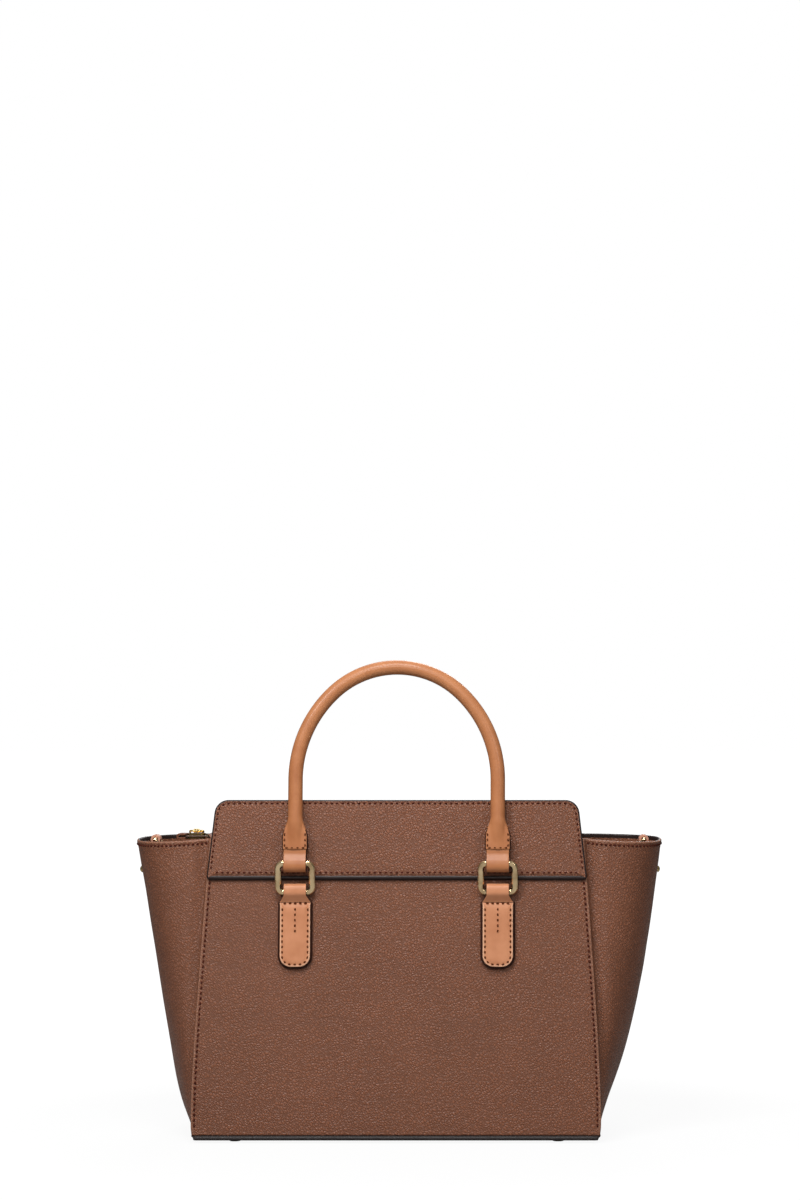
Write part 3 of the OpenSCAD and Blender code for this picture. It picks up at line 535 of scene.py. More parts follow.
for side_name, back in FACES:
    place = on_slope(back)
    top_s = (RIM_Z + YOKE_RISE - YOKE_SETTLE - (BACK_YOKE_DROP if back else 0)) / math.cos(LEAN)

    def over(x, s, out, place=place, back=back):
        sag = waver((x * 11, s * 16, 7.0 + back), 0.3)
        x, s = off_corner(x, s)
        return place(x, s, out + YOKE_T + (sag if out > -YOKE_T / 2 else 0))

    def inside(x, s, out, place=place):
        return place(-x, s, -PANEL_T - out)
    sides = round_topped(YOKE_HALF, YOKE_LOW, top_s)
    piece(f"{side_name}_yoke_leather", cut_leather(sides, [YOKE_BEAD] + [YOKE_EDGE] * 3, 6, over),
          [brown, edge_paint], "bag", [f"{side_name}_yoke"])
    facing_half = YOKE_HALF - (SLOPE_TOP - YOKE_LOW) * math.tan(YOKE_SIDE)
    piece(f"{side_name}_yoke_facing_leather",
          cut_leather(round_topped(facing_half, SLOPE_TOP + 0.1 * MM, top_s), [FACING_EDGE] * 4, 3,
                      inside),
          [brown, edge_paint], "bag", [f"{side_name}_yoke_facing"])
    foot_row = inset(sides, [YOKE_FOOT_SEAM] + [YOKE_SEAM] * 3)[0]
    edge_row = np.concatenate([side[:-1] for side in inset(sides, [YOKE_SEAM] * 4)[1:]])
    for row_name, row in (("foot", foot_row[np.abs(foot_row[:, 0]) < YOKE_HALF - YOKE_SEAM]),
                          ("edge", edge_row[edge_row[:, 1] > YOKE_ROW_LOW])):
        sew(f"{side_name}_yoke_stitches_{row_name}", [over(x, s, -0.14 * MM) for x, s in row],
            outward(back), thread_brown, "bag", pitch=3.8 * MM, length=2.2 * MM,
            width=1.2 * MM)

# Wings
# One soft gusset on each side, sewn in behind the panels. It is closed to a crease at its foot
# and opens towards the rim, whose edge is turned over, stitched, and painted on its inner half.
# The fold over the rim is painted paler, as a highlight.
SEAM_IN = 1.5 * MM
SEAM_BEHIND = 2.5 * MM
WING_REACH = 57.8 * MM
WING_CURVE = 0.64
TIP_DROP = 1.5 * MM
FRONT_SAG = 1.6 * MM
BACK_SAG = -0.3 * MM
# How square a level cut is at the foot and at the rim
SQUARE_LOW = 1.4
SQUARE_HIGH = 2.7
GUSSET_T = 1.8 * MM
WING_CROWN = 1.8 * MM
WING_VALLEY = 2.4 * MM
# Share of the valley, its distance from the seam, its width and where it is full in millimetres
VALLEYS = ((1.0, 5.5, 4.5, 4), (0.45, 2.6, 1.6, 2))
# Waves of the soft leather, by their number in a metre across and up, seed, and millimetres high
WAVES = ((22, 9, 4.0, 1.1), (60, 26, 9.0, 0.4))
WAVE_SINK = 0.5 * MM
FREE_FROM = 12 * MM
# How much fuller than even each wing is at its foot, and half way up
FULLNESS = {"left": (4.2 * MM, -1.0 * MM), "right": (-3.0 * MM, 1.6 * MM)}
FULL_LOW = 0.1
# How much the columns crowd towards the seams, and the rows towards the foot
COLUMN_CROWD = 0.42
ROW_CROWD = 1.2
# Rows of points below the rim's turned edge, within it, and round the rim
WING_ROWS = 34
TURNED_EDGE = 7.2 * MM
NEAR_RIM = [6.2, 5.0, 4.2, 3.5, 2.9, 2.3, 1.7, 1.1]
RIM_STEPS = 9
WING_COLS = 88
RIM_ROW = WING_ROWS + len(NEAR_RIM)
SEAM_ROW = WING_ROWS + 4
# Rows round the rim's fold, which are painted paler as a highlight
RIM_HIGHLIGHT_ROWS = range(RIM_ROW, RIM_ROW + RIM_STEPS)
PAINTED_ROWS = range(RIM_ROW + RIM_STEPS // 2, RIM_ROW + RIM_STEPS + 3)
# Distance below the rim, and height over the face, in millimetres
RIM_RELIEF = [(0, 0.35), (1.7, 0.35), (2.3, 0.12), (2.9, -0.1), (3.5, 0.02), (4.2, 0.1), (6, 0),
              (400, 0)]


def eased(x, a, b):
    """A smooth step from 0 at a to 1 at b."""
    t = np.clip((x - a) / (b - a), 0, 1)
    return t * t * (3 - 2 * t)


def wing_at(z, turn):
    """A point of the gusset at height z, and turn from -1 at the front seam to 1 at the back one.
    A level cut is a superellipse, almost a V at the foot and almost a U at the rim."""
    share = np.clip((z - BASE_TOP) / (RIM_Z - BASE_TOP), 0, 1)
    power = 2 / (SQUARE_LOW + (SQUARE_HIGH - SQUARE_LOW) * share)
    a = turn * math.pi / 2
    bow = np.abs(np.cos(a)) ** power
    depth = np.copysign(np.abs(np.sin(a)) ** power, turn)
    seam_x = half_width(z) - SEAM_IN
    seam_y = BASE_D / 2 - z * math.tan(LEAN) - SEAM_BEHIND / math.cos(LEAN)
    tip = FOOT_HALF - (FOOT_HALF - RIM_HALF) * share - SEAM_IN + WING_REACH * share ** WING_CURVE
    return np.stack([seam_x + (tip - seam_x) * bow, seam_y * depth, z], -1), bow


def wing_sheet(sx, depth, thick, drop, relief, full):
    """The closed sheet of a gusset or its lining, as rows up the outside, over the rim and down
    the inside, and its faces. Depth is how far it lies inside the wing's outer face."""
    turn = np.linspace(-1, 1, WING_COLS + 1)
    turn = (1 + COLUMN_CROWD) * turn - COLUMN_CROWD * turn ** 3
    rim, bow = wing_at(np.full(len(turn), RIM_Z), turn)
    run = run_of(rim)
    part = np.minimum(run, run[-1] - run) / (run[-1] / 2)
    sag = (np.where(turn < 0, FRONT_SAG, BACK_SAG)
           * np.sin(math.pi * np.minimum(1, part * 1.1)) ** 0.7)
    top = RIM_Z - drop - TIP_DROP * bow - sag
    steps = [("out", BASE_TOP + (top - TURNED_EDGE - BASE_TOP) * u)
             for u in np.linspace(0, 1, WING_ROWS) ** ROW_CROWD]
    steps += [("out", top - d * MM) for d in NEAR_RIM]
    down = [("in", z) for way, z in steps[::-1]]
    steps += [(bend, top - thick / 2) for bend in np.linspace(0, math.pi, RIM_STEPS)] + down
    rows = []
    for way, z in steps:
        p, bow = wing_at(z, turn)
        before, after = [wing_at(z, np.clip(turn + d, -1, 1))[0] for d in (-0.004, 0.004)]
        t = after - before
        n = unit(np.stack([t[:, 1], -t[:, 0], np.zeros(len(turn))], 1))
        run = run_of(p)
        seam = np.minimum(run, run[-1] - run)
        share = (z - BASE_TOP) / (top - BASE_TOP)
        # Soft unevenness, which fades towards the seams, the foot and the rim
        free = np.clip(seam / FREE_FROM, 0, 1) * np.clip(share * 4, 0, 1)
        free *= 0.35 + 0.65 * np.clip((1 - share) * 6, 0, 1)
        slack = np.array([sum(waver((y * across, up * q, seed), high)
                              for across, up, seed, high in WAVES) for x, y, q in p])
        shift = -depth + (slack - WAVE_SINK) * free
        # A swell between seam and tip, and a valley beside each seam
        crown = np.sin(math.pi * seam / (run[-1] / 2)) ** 2 * np.sqrt(share)
        valley = sum(deep * np.exp(-((seam - at * MM) / (wide * MM)) ** 2)
                     * eased(seam, 0, start * MM) for deep, at, wide, start in VALLEYS)
        shift += (WING_CROWN * crown - WING_VALLEY * valley) * np.clip(share * 3, 0, 1)
        low = share / FULL_LOW * np.exp(1 - share / FULL_LOW)
        p[:, 0] += (full[0] * low + full[1] * np.sin(math.pi * np.clip(share, 0, 1))) * bow
        if way == "out":
            lift = np.interp((top - z) / MM, *zip(*relief)) * MM
            rows.append(p + n * (shift + lift)[:, None])
        elif way == "in":
            rows.append(p + n * (shift - thick)[:, None])
        else:
            lift = relief[0][1] * MM
            round_r = (thick + lift) / 2
            out = shift + lift - round_r + round_r * math.cos(way)
            rows.append(p + n * out[:, None] + np.array([0, 0, round_r * math.sin(way)]))
    grid = np.array(rows) * np.array([sx, 1, 1])
    count, cols = grid.shape[:2]
    faces = []
    for i in range(count):
        for j in range(cols - 1):
            a, b = i * cols + j, (i + 1) % count * cols + j
            faces.append((a, a + 1, b + 1, b))
    faces.append(tuple(i * cols for i in range(count)))
    faces.append(tuple(i * cols + cols - 1 for i in range(count))[::-1])
    return grid, [face[::sx] for face in faces]


for side_name, sx in SIDES:
    grid, faces = wing_sheet(sx, 0, GUSSET_T, 0, RIM_RELIEF, FULLNESS[side_name])
    count, cols = grid.shape[:2]
    # The fold over the rim is painted paler: a painted highlight
    rub_and_highlight = np.repeat([0.7 if i in RIM_HIGHLIGHT_ROWS else 0.0 for i in range(count)], cols)
    index = [1 if i in PAINTED_ROWS else 0 for i in range(count) for _ in range(cols - 1)] + [0, 0]
    piece(f"{side_name}_wing_leather", (grid.reshape(-1, 3), faces, index, rub_and_highlight),
          [brown, edge_paint], "bag", [f"{side_name}_gusset"])
    row = grid[SEAM_ROW][2:-2]
    ahead = np.gradient(row, axis=0)
    up = np.stack([ahead[:, 1], -ahead[:, 0], np.zeros(len(row))], 1) * sx
    sew(f"{side_name}_wing_stitches", row, up, thread_brown, "bag",
        pitch=3.2 * MM, length=2.2 * MM)

# Base
# A stiff plate wrapped in dark leather under the panels, on five domed metal feet that are
# riveted through it. A board inside keeps the bottom flat.
PLATE_HALF = (142.6 * MM, 70.6 * MM)
PLATE_ROUND = 4 * MM
PLATE_LOW = 2 * MM
PLATE_SEAM = 5 * MM
PLATE_STEPS = (60, 34)
CORNER_STEPS = 7
PLATE_EDGE = [(2.0, -3.4), (1.2, -3.3), (0.5, -2.7), (0.0, -2.2, 0.2), (0.0, -1.2, 0.3),
              (0.4, -0.4), (1.2, 0), (2.2, 0), (3.2, 0)]
PLATE_END = [(1.4, -3.4), (0.6, -3.3), (0.1, -2.9), (0.4, -2.3, 0.2), (1.3, -1.5, 0.3),
             (2.5, -0.7), (3.8, -0.2), (5.0, 0), (6.2, 0)]


def plated_zinc(name, colour, dark, gloss, cast=0.02, edge=0.05):
    """Zinc casting, plated pale gold and lacquered. It mirrors the room with bright rounded
    edges, a little wavy from the casting, and duller where it has been touched. Cast is the
    height of the waves and edge the radius of the edges, in millimetres."""
    made, tree, shader, place = new_material(name)
    stain = node(tree, "TexNoise", {"Scale": 120.0, "Detail": 3.0}, {"Vector": place})
    share = node(tree, "MapRange", {"From Min": 0.4, "From Max": 0.7}, {"Value": stain})
    tone = node(tree, "Mix", {"A": srgb(colour), "B": srgb(dark)}, {"Factor": share},
                data_type="RGBA")
    dull = node(tree, "MapRange", {"From Min": 0.3, "From Max": 0.7, "To Min": gloss,
                                   "To Max": gloss + 0.07}, {"Value": stain})
    worn = node(tree, "Bevel", {"Radius": edge * MM})
    swell = node(tree, "TexNoise", {"Scale": 230.0}, {"Vector": place})
    waves = node(tree, "Bump", {"Distance": cast * MM}, {"Height": swell, "Normal": worn})
    hair = node(tree, "TexNoise", {"Scale": 1500.0}, {"Vector": place})
    bump = node(tree, "Bump", {"Strength": 0.1, "Distance": 0.02 * MM},
                {"Height": hair, "Normal": waves})
    wire(tree, shader, {"Metallic": 1.0}, {"Base Color": tone, "Roughness": dull, "Normal": bump})
    return made


def raw_fibre(name, colour, dark, kind, values, **settings):
    """Undyed plant fibre, pressed into board or twisted into cord. It looks matt, in two tones
    that follow the fibres, which are drawn coarser than the real ones."""
    made, tree, shader, place = new_material(name)
    fibre = node(tree, kind, values, {"Vector": place}, **settings).outputs["Fac"]
    tone = node(tree, "Mix", {"A": srgb(colour), "B": srgb(dark)}, {"Factor": fibre},
                data_type="RGBA")
    wire(tree, shader, {"Roughness": 0.85}, {"Base Color": tone})
    return made


def finish_nodes(material, *names):
    """Gives the CAD nodes named a material."""
    for name in names:
        materials = bpy.data.objects[name].data.materials
        materials.clear()
        materials.append(material)


def round_plate(half_x, half_y, r, count_x, count_y):
    """Four sides of a plate with round corners, each from the middle of one corner to the next."""
    corners = []
    for cx, cy, first in ((-1, -1, 180), (1, -1, 270), (1, 1, 0), (-1, 1, 90)):
        turns = [math.radians(first + 45 * k / CORNER_STEPS) for k in range(2 * CORNER_STEPS + 1)]
        corners.append([(cx * (half_x - r) + r * math.cos(a), cy * (half_y - r) + r * math.sin(a))
                        for a in turns])
    return [along(corners[k][CORNER_STEPS:] + corners[(k + 1) % 4][:CORNER_STEPS + 1],
                  (count_x, count_y)[k % 2], 0.85) for k in range(4)]


# Bright and crisp on teeth, slider, feet and rivets. Paler, wavier and rounder on the rings.
gold = plated_zinc("pale_gold_plating", "#e3c88e", "#c9a866", 0.12)
antique = plated_zinc("antique_gold_plating", "#f2d6a8", "#c9a97c", 0.12, 0.45, 0.9)
# Nearly black, with a flatter and duller grain
dark_leather = pebbled_leather("dark_base_leather", "#261f1e", "#1c1717", "#4c4341", 1.6, 0.1, 0.5)
board = raw_fibre("pressed_board", "#8d7a62", "#6f5d48", "TexNoise",
                  {"Scale": 900.0, "Detail": 4.0})
piece("base_plate_leather",
      cut_leather(round_plate(*PLATE_HALF, PLATE_ROUND, *PLATE_STEPS), [PLATE_EDGE, PLATE_END] * 2,
                  0, lambda x, s, out: (x, -s, PLATE_LOW - out)),
      [dark_leather], "bag", ["base_panel"])
ring = np.concatenate([side[:-1] for side in round_plate(
    PLATE_HALF[0] - PLATE_SEAM, PLATE_HALF[1] - PLATE_SEAM, 3 * MM, *PLATE_STEPS)])
sew("base_plate_stitches",
    [(x, -y, PLATE_LOW + 0.55 * MM) for x, y in np.concatenate([ring, ring[:1]])], (0, 0, -1),
    thread_brown, "bag")
finish_nodes(gold, "base_feet")
finish_nodes(board, "base_board")

# Lining and pocket
# Thin woven lining, sewn in below the rim, with an open slip pocket on the back wall.
LINING_T = 0.8 * MM
LINING_DROP = 12 * MM
LINING_TOP = (RIM_Z - LINING_DROP) / math.cos(LEAN)
LINING_SIDE = 4.3 * MM
LINING_BEHIND = 2.5 * MM
WING_LINING_BEHIND = 2.1 * MM
POCKET_BEHIND = 3.4 * MM
POCKET_HALF = FOOT_HALF * 0.53
POCKET_LOW = RIM_Z * 0.38
POCKET_TOP = RIM_Z * 0.8
HEM = [(0.1, -0.8), (0.0, -0.6), (0.0, -0.2), (0.1, 0), (1.0, 0.12), (2.0, -0.02), (3.5, 0.02)]


def plain_weave(name, colour, dark, pitch, relief=0.12):
    """Plain weave polyester. It looks matt and finely checked, with a faint bloom at its edges.
    The threads are drawn coarser than the real ones, so that they show."""
    made, tree, shader, place = new_material(name)
    split = node(tree, "SeparateXYZ", links={0: place}).outputs
    around = node(tree, "Math", links={0: split["X"], 1: split["Y"]}, operation="ADD")
    heights = []
    for way in (around, split["Z"]):
        scaled = node(tree, "Math", {1: 2 * math.pi / (pitch * MM)}, {0: way},
                      operation="MULTIPLY")
        heights.append(node(tree, "Math", links={0: scaled}, operation="SINE"))
    product = node(tree, "Math", links={0: heights[0], 1: heights[1]}, operation="MULTIPLY")
    level = node(tree, "MapRange", {"From Min": -1.0}, {"Value": product})
    tone = node(tree, "Mix", {"A": srgb(dark), "B": srgb(colour)}, {"Factor": level},
                data_type="RGBA")
    bump = node(tree, "Bump", {"Distance": relief * MM}, {"Height": level})
    wire(tree, shader, {"Roughness": 0.8, "Sheen Weight": 0.25},
         {"Base Color": tone, "Normal": bump})
    return made


def lining_piece(name, shape, replaced):
    """A piece of the lining, in place of a CAD node."""
    piece(name, shape[:2], [lining], "bag", [replaced])


lining = plain_weave("lining_weave", "#8d6c52", "#6d503a", 1.1)
low, high = FOOT_HALF - LINING_SIDE, half_width(RIM_Z) - LINING_SIDE
corners = [(-low, SLOPE_FOOT), (low, SLOPE_FOOT), (high, LINING_TOP), (-high, LINING_TOP)]
for side_name, back in FACES:
    place = on_slope(back)

    def behind(x, s, out, place=place, back=back):
        sag = waver((x * 16, s * 16, 12.0 + back), 0.25)
        return place(-x, s, -LINING_BEHIND - LINING_T - out - abs(sag))
    lining_piece(f"{side_name}_lining_cloth",
                 cut_leather(four_sides(corners, 36, 36), [HEM] * 4, 0, behind),
                 f"{side_name}_lining")
for side_name, sx in SIDES:
    grid, faces = wing_sheet(sx, WING_LINING_BEHIND, LINING_T, LINING_DROP, [(0, 0), (400, 0)],
                             FULLNESS[side_name])
    lining_piece(f"{side_name}_wing_lining", (grid.reshape(-1, 3), faces), f"{side_name}_lining")
floor_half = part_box("base_lining")[1]
lining_piece("base_lining_cloth",
             cut_leather(round_plate(floor_half.x, floor_half.y, 2 * MM, 40, 24), [HEM] * 4, 0,
                         lambda x, s, out: (x, s, floor_half.z + out * 0.6 - 0.1 * MM)),
             "base_lining")
corners = [(-POCKET_HALF, POCKET_LOW), (POCKET_HALF, POCKET_LOW), (POCKET_HALF, POCKET_TOP),
           (-POCKET_HALF, POCKET_TOP)]
place = on_slope(True)
lining_piece("slip_pocket_cloth",
             cut_leather(four_sides(corners, 30, 30), [HEM] * 4, 0,
                         lambda x, s, out: place(-x, s, -POCKET_BEHIND - LINING_T - out)),
             "slip_pocket")
# The pocket is sewn down its sides and along its foot, a little inside its edge
row = [place(x * 0.985, s + (1.5 * MM if s < 0.1 else 0), -POCKET_BEHIND - LINING_T)
       for x, s in along(corners[3:] + corners[:3], 160)]
sew("slip_pocket_stitches", row, -outward(True), thread_brown, "bag", lift=0.0)

# Strap ends
# Tan straps of smooth leather, folded round the lower bar of each ring. Both layers are sewn to
# the panel round a padded foot, with a short row down the middle and one across the neck.
STRAP_T = 2 * MM
HANDLE_X = 70.8 * MM
NECK_HALF = 8 * MM
CHAPE_HALF = 11.3 * MM
CHAPE_LOW = 121 * MM / math.cos(LEAN)
CHAPE_SHOULDER = 166.5 * MM / math.cos(LEAN)
CHAPE_ROUND = 8.4 * MM
CHAPE_FLARE = 5.2 * MM
CHAPE_SEAM = 2.4 * MM
NECK_ROW_HALF = 9 * MM
NECK_ROW_DROP = 0.9 * MM
MIDDLE_ROW = (3 * MM, 22 * MM)
FOLD_R = 4.08 * MM
PINCH = FOLD_R * 1.5
SLACK = 2 * MM
BAR_S = (173.9 * MM - FOLD_R * math.sin(LEAN)) / math.cos(LEAN)
# Rings of a strap end's foot: inset, height and paleness. The first rings reach out past the cut
# edge with dark edge paint, so that a dark border shows all round, partly as painted shadow of the
# strap on the panel. Inside them the edge is paler, as a painted highlight.
CHAPE_EDGE = [(-0.6, -4.0), (-0.8, -3.6), (-0.7, -2.2), (-0.2, -1.5), (0.3, -0.7),
              (0.8, -0.22, 0.8), (1.2, -0.02, 0.9), (1.7, 0.0, 0.4), (2.4, -0.2), (3.1, 0.02),
              (4.2, 0.2), (5.6, 0.28)]
CHAPE_NECK = [(0.3, -4.0), (0.0, -3.7), (0.0, -2.0), (0.0, -1.0), (0.1, -0.6), (0.2, -0.45),
              (0.4, -0.4), (0.8, -0.35), (1.2, -0.2), (2.0, 0.05), (3.6, 0.2), (5.6, 0.28)]
# A quarter of a strap's section: inset in millimetres, and height as a share of its thickness
STRAP_EDGE = [(0.0, 0.28), (0.06, 0.40), (0.25, 0.48), (0.6, 0.5), (1.2, 0.5), (1.8, 0.5),
              (2.4, 0.5), (4.0, 0.5)]
# Faces round the section that carry edge paint
STRAP_PAINTED = {0, 1, 13, 14, 15, 16, 17, 29, 30, 31}


def smooth_leather(name, colour, deep, pale, gloss=0.34, shine=0.05, glow=0.2):
    """Aniline dyed calf, plated smooth. It looks cloudy and finely pored under a soft, even
    shine, and paler where the mesh marks it, as over the top of the handle and as a painted
    highlight along the edges of the strap ends. The pores are drawn coarser than the real ones."""
    made, tree, shader, place = new_material(name)
    cloud = node(tree, "TexNoise", {"Scale": 90.0, "Detail": 4.0, "Roughness": 0.55},
                 {"Vector": place})
    share = node(tree, "MapRange", {"From Min": 0.3, "From Max": 0.7}, {"Value": cloud})
    tone = node(tree, "Mix", {"A": srgb(deep), "B": srgb(colour)}, {"Factor": share},
                data_type="RGBA")
    wear_and_highlight = node(tree, "Attribute", attribute_name="wear_and_highlight").outputs["Fac"]
    worn = node(tree, "Math", {1: 0.5}, {0: wear_and_highlight}, operation="MULTIPLY")
    final = node(tree, "Mix", {"B": srgb(pale)}, {"Factor": worn, "A": tone}, data_type="RGBA")
    pores = node(tree, "TexVoronoi", {"Scale": 1600.0}, {"Vector": place})
    fine = node(tree, "TexNoise", {"Scale": 700.0, "Detail": 3.0}, {"Vector": place})
    both = node(tree, "Math", {1: 0.6}, {0: pores, 2: fine}, operation="MULTIPLY_ADD")
    bump = node(tree, "Bump", {"Strength": 0.22, "Distance": 0.05 * MM}, {"Height": both})
    dull = node(tree, "MapRange", {"From Min": 0.3, "From Max": 0.7, "To Min": gloss,
                                   "To Max": gloss + 0.1}, {"Value": fine})
    wire(tree, shader, {"IOR": 1.48, "Specular IOR Level": 0.2, "Coat Weight": shine,
                        "Coat Roughness": glow},
         {"Base Color": final, "Roughness": dull, "Normal": bump})
    return made


def strap(centres, normals, half, thick):
    """A strap along a line of points, with rounded and painted edges. Returns its points, its
    faces and each face's material."""
    c, n = np.asarray(centres, float), unit(np.asarray(normals, float))
    across = unit(np.cross(np.gradient(c, axis=0), n))
    half = np.broadcast_to(half, len(c))
    section = [(s, d, up * h) for s, up, way in ((1, 1, 1), (-1, 1, -1), (-1, -1, 1), (1, -1, -1))
               for d, h in STRAP_EDGE[::way]]
    points = [c[k] + across[k] * s * max(half[k] - d * MM, half[k] * 0.08) + n[k] * h * thick
              for k in range(len(c)) for s, d, h in section]
    size = len(section)
    index = [1 if j in STRAP_PAINTED else 0 for _ in range(len(c) - 1) for j in range(size)]
    return points, tube_faces(len(c), size), index + [1, 1]


def fold(tail, gap, r):
    """Centre line and normals of a strap that runs up one side of a bar, round it with some
    slack and down the other, as offsets from the bar: away from the panel, then along it."""
    near = STRAP_T / 2 + STRAP_T - gap
    line = [(near, -tail), (near, -PINCH)]
    line += [(r * math.cos(a), r * math.sin(a)) for a in np.linspace(-math.pi / 6, 0, 5)]
    line += [(r * math.cos(a), SLACK + r * math.sin(a)) for a in np.linspace(0, math.pi, 21)]
    line += [(-r, -PINCH), (-r, -tail)]
    line = along(line, 60)
    for _ in range(3):
        line[1:-1] = (line[:-2] + 2 * line[1:-1] + line[2:]) / 4
    ahead = np.gradient(line, axis=0)
    return line, np.stack([ahead[:, 1], -ahead[:, 0]], 1)


# Tan on the handles, and a paler and drier tan on the strap ends
tan = smooth_leather("smooth_tan_leather", "#9f6742", "#935b38", "#b27f59", 0.38, 0.1)
pale_tan = smooth_leather("pale_tan_leather", "#b37a58", "#a66d4c", "#d8b396", 0.36)
tan_edge = edge_coat("tan_edge_paint", "#2e1710", 600.0, 0.1, 0.5, 0.2)
thread_tan = bonded_thread("tan_needle_thread", "#5a2c12")
foot_arc = [(CHAPE_HALF - CHAPE_ROUND + CHAPE_ROUND * math.sin(a),
             CHAPE_LOW + CHAPE_ROUND - CHAPE_ROUND * math.cos(a))
            for a in np.linspace(0, math.pi / 2, 25)]
foot = [(-x, s) for x, s in foot_arc[:13][::-1]] + foot_arc[:13]
side = foot_arc[12:] + [(CHAPE_HALF, CHAPE_SHOULDER)]
neck = [(CHAPE_HALF, CHAPE_SHOULDER), (-CHAPE_HALF, CHAPE_SHOULDER)]
sides = [along(foot, 28), along(side, 40), along(neck, 28),
         along([(-x, s) for x, s in side[::-1]], 40)]
edge = inset(sides, [CHAPE_SEAM] * 4)
# Points of each row of stitches on the strap, with how far they lie over its face
ROWS = {"edge": [(x, s, -0.2 * MM)
                 for x, s in np.concatenate([edge[3][:-1], edge[0][:-1], edge[1]])[1:-1]],
        "neck": [(x, CHAPE_SHOULDER - NECK_ROW_DROP, -0.15 * MM)
                 for x in np.linspace(-NECK_ROW_HALF, NECK_ROW_HALF, 12)],
        "middle": [(0, CHAPE_SHOULDER - d, 0.2 * MM) for d in np.linspace(*MIDDLE_ROW, 20)]}
line, turn = fold(BAR_S - CHAPE_SHOULDER - 0.3 * MM, FOLD_R, FOLD_R - STRAP_T / 2)
widths = np.interp(np.maximum(-line[:, 1], 0),
                   [0, BAR_S - CHAPE_SHOULDER - CHAPE_FLARE, BAR_S - CHAPE_SHOULDER],
                   [NECK_HALF, NECK_HALF, CHAPE_HALF])
for side_name, back in FACES:
    place = on_slope(back)
    base = np.array(place(0, 0, 0))
    for end_name, sx in SIDES:
        x0 = sx * HANDLE_X * (-1 if back else 1)
        name = f"{side_name}_{end_name}_chape"

        def on_panel(x, s, out, place=place, x0=x0):
            return place(x0 + x, s, out + 2 * STRAP_T)
        piece(f"{name}_foot",
              cut_leather(sides, [CHAPE_EDGE, CHAPE_EDGE, CHAPE_NECK, CHAPE_EDGE], 5, on_panel),
              [pale_tan, tan_edge], "bag", [name])
        centres = [place(x0, BAR_S + s, FOLD_R + o) for o, s in line]
        normals = [np.array(place(0, ns, no)) - base for no, ns in turn]
        piece(f"{name}_fold", strap(centres, normals, widths, STRAP_T), [pale_tan, tan_edge],
              "bag", [name])
        for row_name, row in ROWS.items():
            sew(f"{name}_stitches_{row_name}", [on_panel(*p) for p in row], outward(back),
                thread_tan, "bag", length=2.2 * MM, width=1.25 * MM)

# Rings
# Rectangular rings with bevelled edges, cast in zinc and plated pale antique gold. Each links a
# strap end with a handle.
finish_nodes(antique, *[f"{side_name}_{end_name}_ring" for side_name, _ in FACES
                        for end_name, _ in SIDES])

# Handles
# Each handle is tan leather rolled round a cord. Its ends flatten into tabs that hold a strap
# folded round the ring's upper bar, with painted edges and a row of stitches round each tab.
RING_PITCH = 20.4 * MM
GRIP_R = 5.1 * MM
HANDLE_LEN = 143.1 * MM
# The arch: two wide arcs that rise from the legs and meet a narrower one over the top
SIDE_ARC = HANDLE_X * 1.2
TOP_ARC = HANDLE_X * 0.91
ARC_MEET = math.acos((SIDE_ARC - HANDLE_X) / (SIDE_ARC - TOP_ARC))
ARC_RISE = (SIDE_ARC - TOP_ARC) * math.sin(ARC_MEET)
ARC_Z = HANDLE_LEN - GRIP_R - TOP_ARC - ARC_RISE
TAB_LOW = 9.6 * MM
TAB_HIGH = 19 * MM
TAB_HALF = 9.1 * MM
TAB_DEPTH = 2.4 * MM
TAB_TAIL = 12.5 * MM
# Rows of stitches down both edges of a tab, and across its foot
TAB_ROW = TAB_HALF - 1.9 * MM
TAB_ROW_Z = np.linspace(TAB_LOW + 1 * MM, TAB_HIGH + 3 * MM, 12)
CROSS_ROW = np.linspace(1.5 * MM - TAB_HALF, TAB_HALF - 1.5 * MM, 12)
CROSS_ROW_Z = TAB_LOW + 1.2 * MM
GRIP_START = 33 * MM
GRIP_ROUND = 7 * MM
RIDGE_LOW = 2.7 * MM
RIDGE_HALF = 5.6 * MM
# How softly the ridge runs out into the tab, and how far its edge rounds off and thins
RIDGE_BLEND = 0.35 * MM
TAB_ROUND = 0.9 * MM
EDGE_THIN = 0.5 * MM
# The stitched channel in the tab, and the seam along the grip
CHANNEL = 0.2 * MM
CHANNEL_IN = 1.9 * MM
CHANNEL_HALF = 0.5 * MM
SEAM_GROOVE = 0.35 * MM
SEAM_ANGLE = 0.10
# Room that a fold leaves round the ring's bar, so that the handle turns freely
PLAY = 0.25 * MM
SECTORS = 48
# Tilts at rest: the front handle leans on the yoke, and the back one hangs against its panel
LEAN_GAP = 0.4 * MM
REST_GAP = 0.5 * MM
FRONT_RING_TILT = math.asin((YOKE_T + LEAN_GAP + SLACK) / RING_PITCH)
GRIP_REACH = ((RIM_Z + YOKE_RISE) / math.cos(LEAN) - BAR_S
              - RING_PITCH * math.cos(FRONT_RING_TILT))
FRONT_GRIP_TILT = math.atan((REST_GAP + GRIP_R - LEAN_GAP - FOLD_R - SLACK) / GRIP_REACH)
BACK_RING_TILT = math.radians(153)
BACK_BAR = FOLD_R + RING_PITCH * math.sin(BACK_RING_TILT)
BACK_GRIP_TILT = math.pi + math.asin((BACK_BAR - GRIP_R - REST_GAP) / (HANDLE_LEN - GRIP_R))


def grip_frame(back):
    """Matrix from a handle's own frame, with its ring bar at the origin, to the bag."""
    ring_tilt, grip_tilt = ((BACK_RING_TILT, BACK_GRIP_TILT) if back
                            else (FRONT_RING_TILT, FRONT_GRIP_TILT))
    place = Matrix.Rotation(math.pi if back else 0, 4, "Z")
    place = place @ Matrix.Translation((0, -BASE_D / 2, 0)) @ Matrix.Rotation(-LEAN, 4, "X")
    place = place @ Matrix.Translation((0, -FOLD_R, BAR_S))
    place = place @ Matrix.Rotation(ring_tilt, 4, "X") @ Matrix.Translation((0, 0, RING_PITCH))
    return place @ Matrix.Rotation(grip_tilt - ring_tilt, 4, "X")


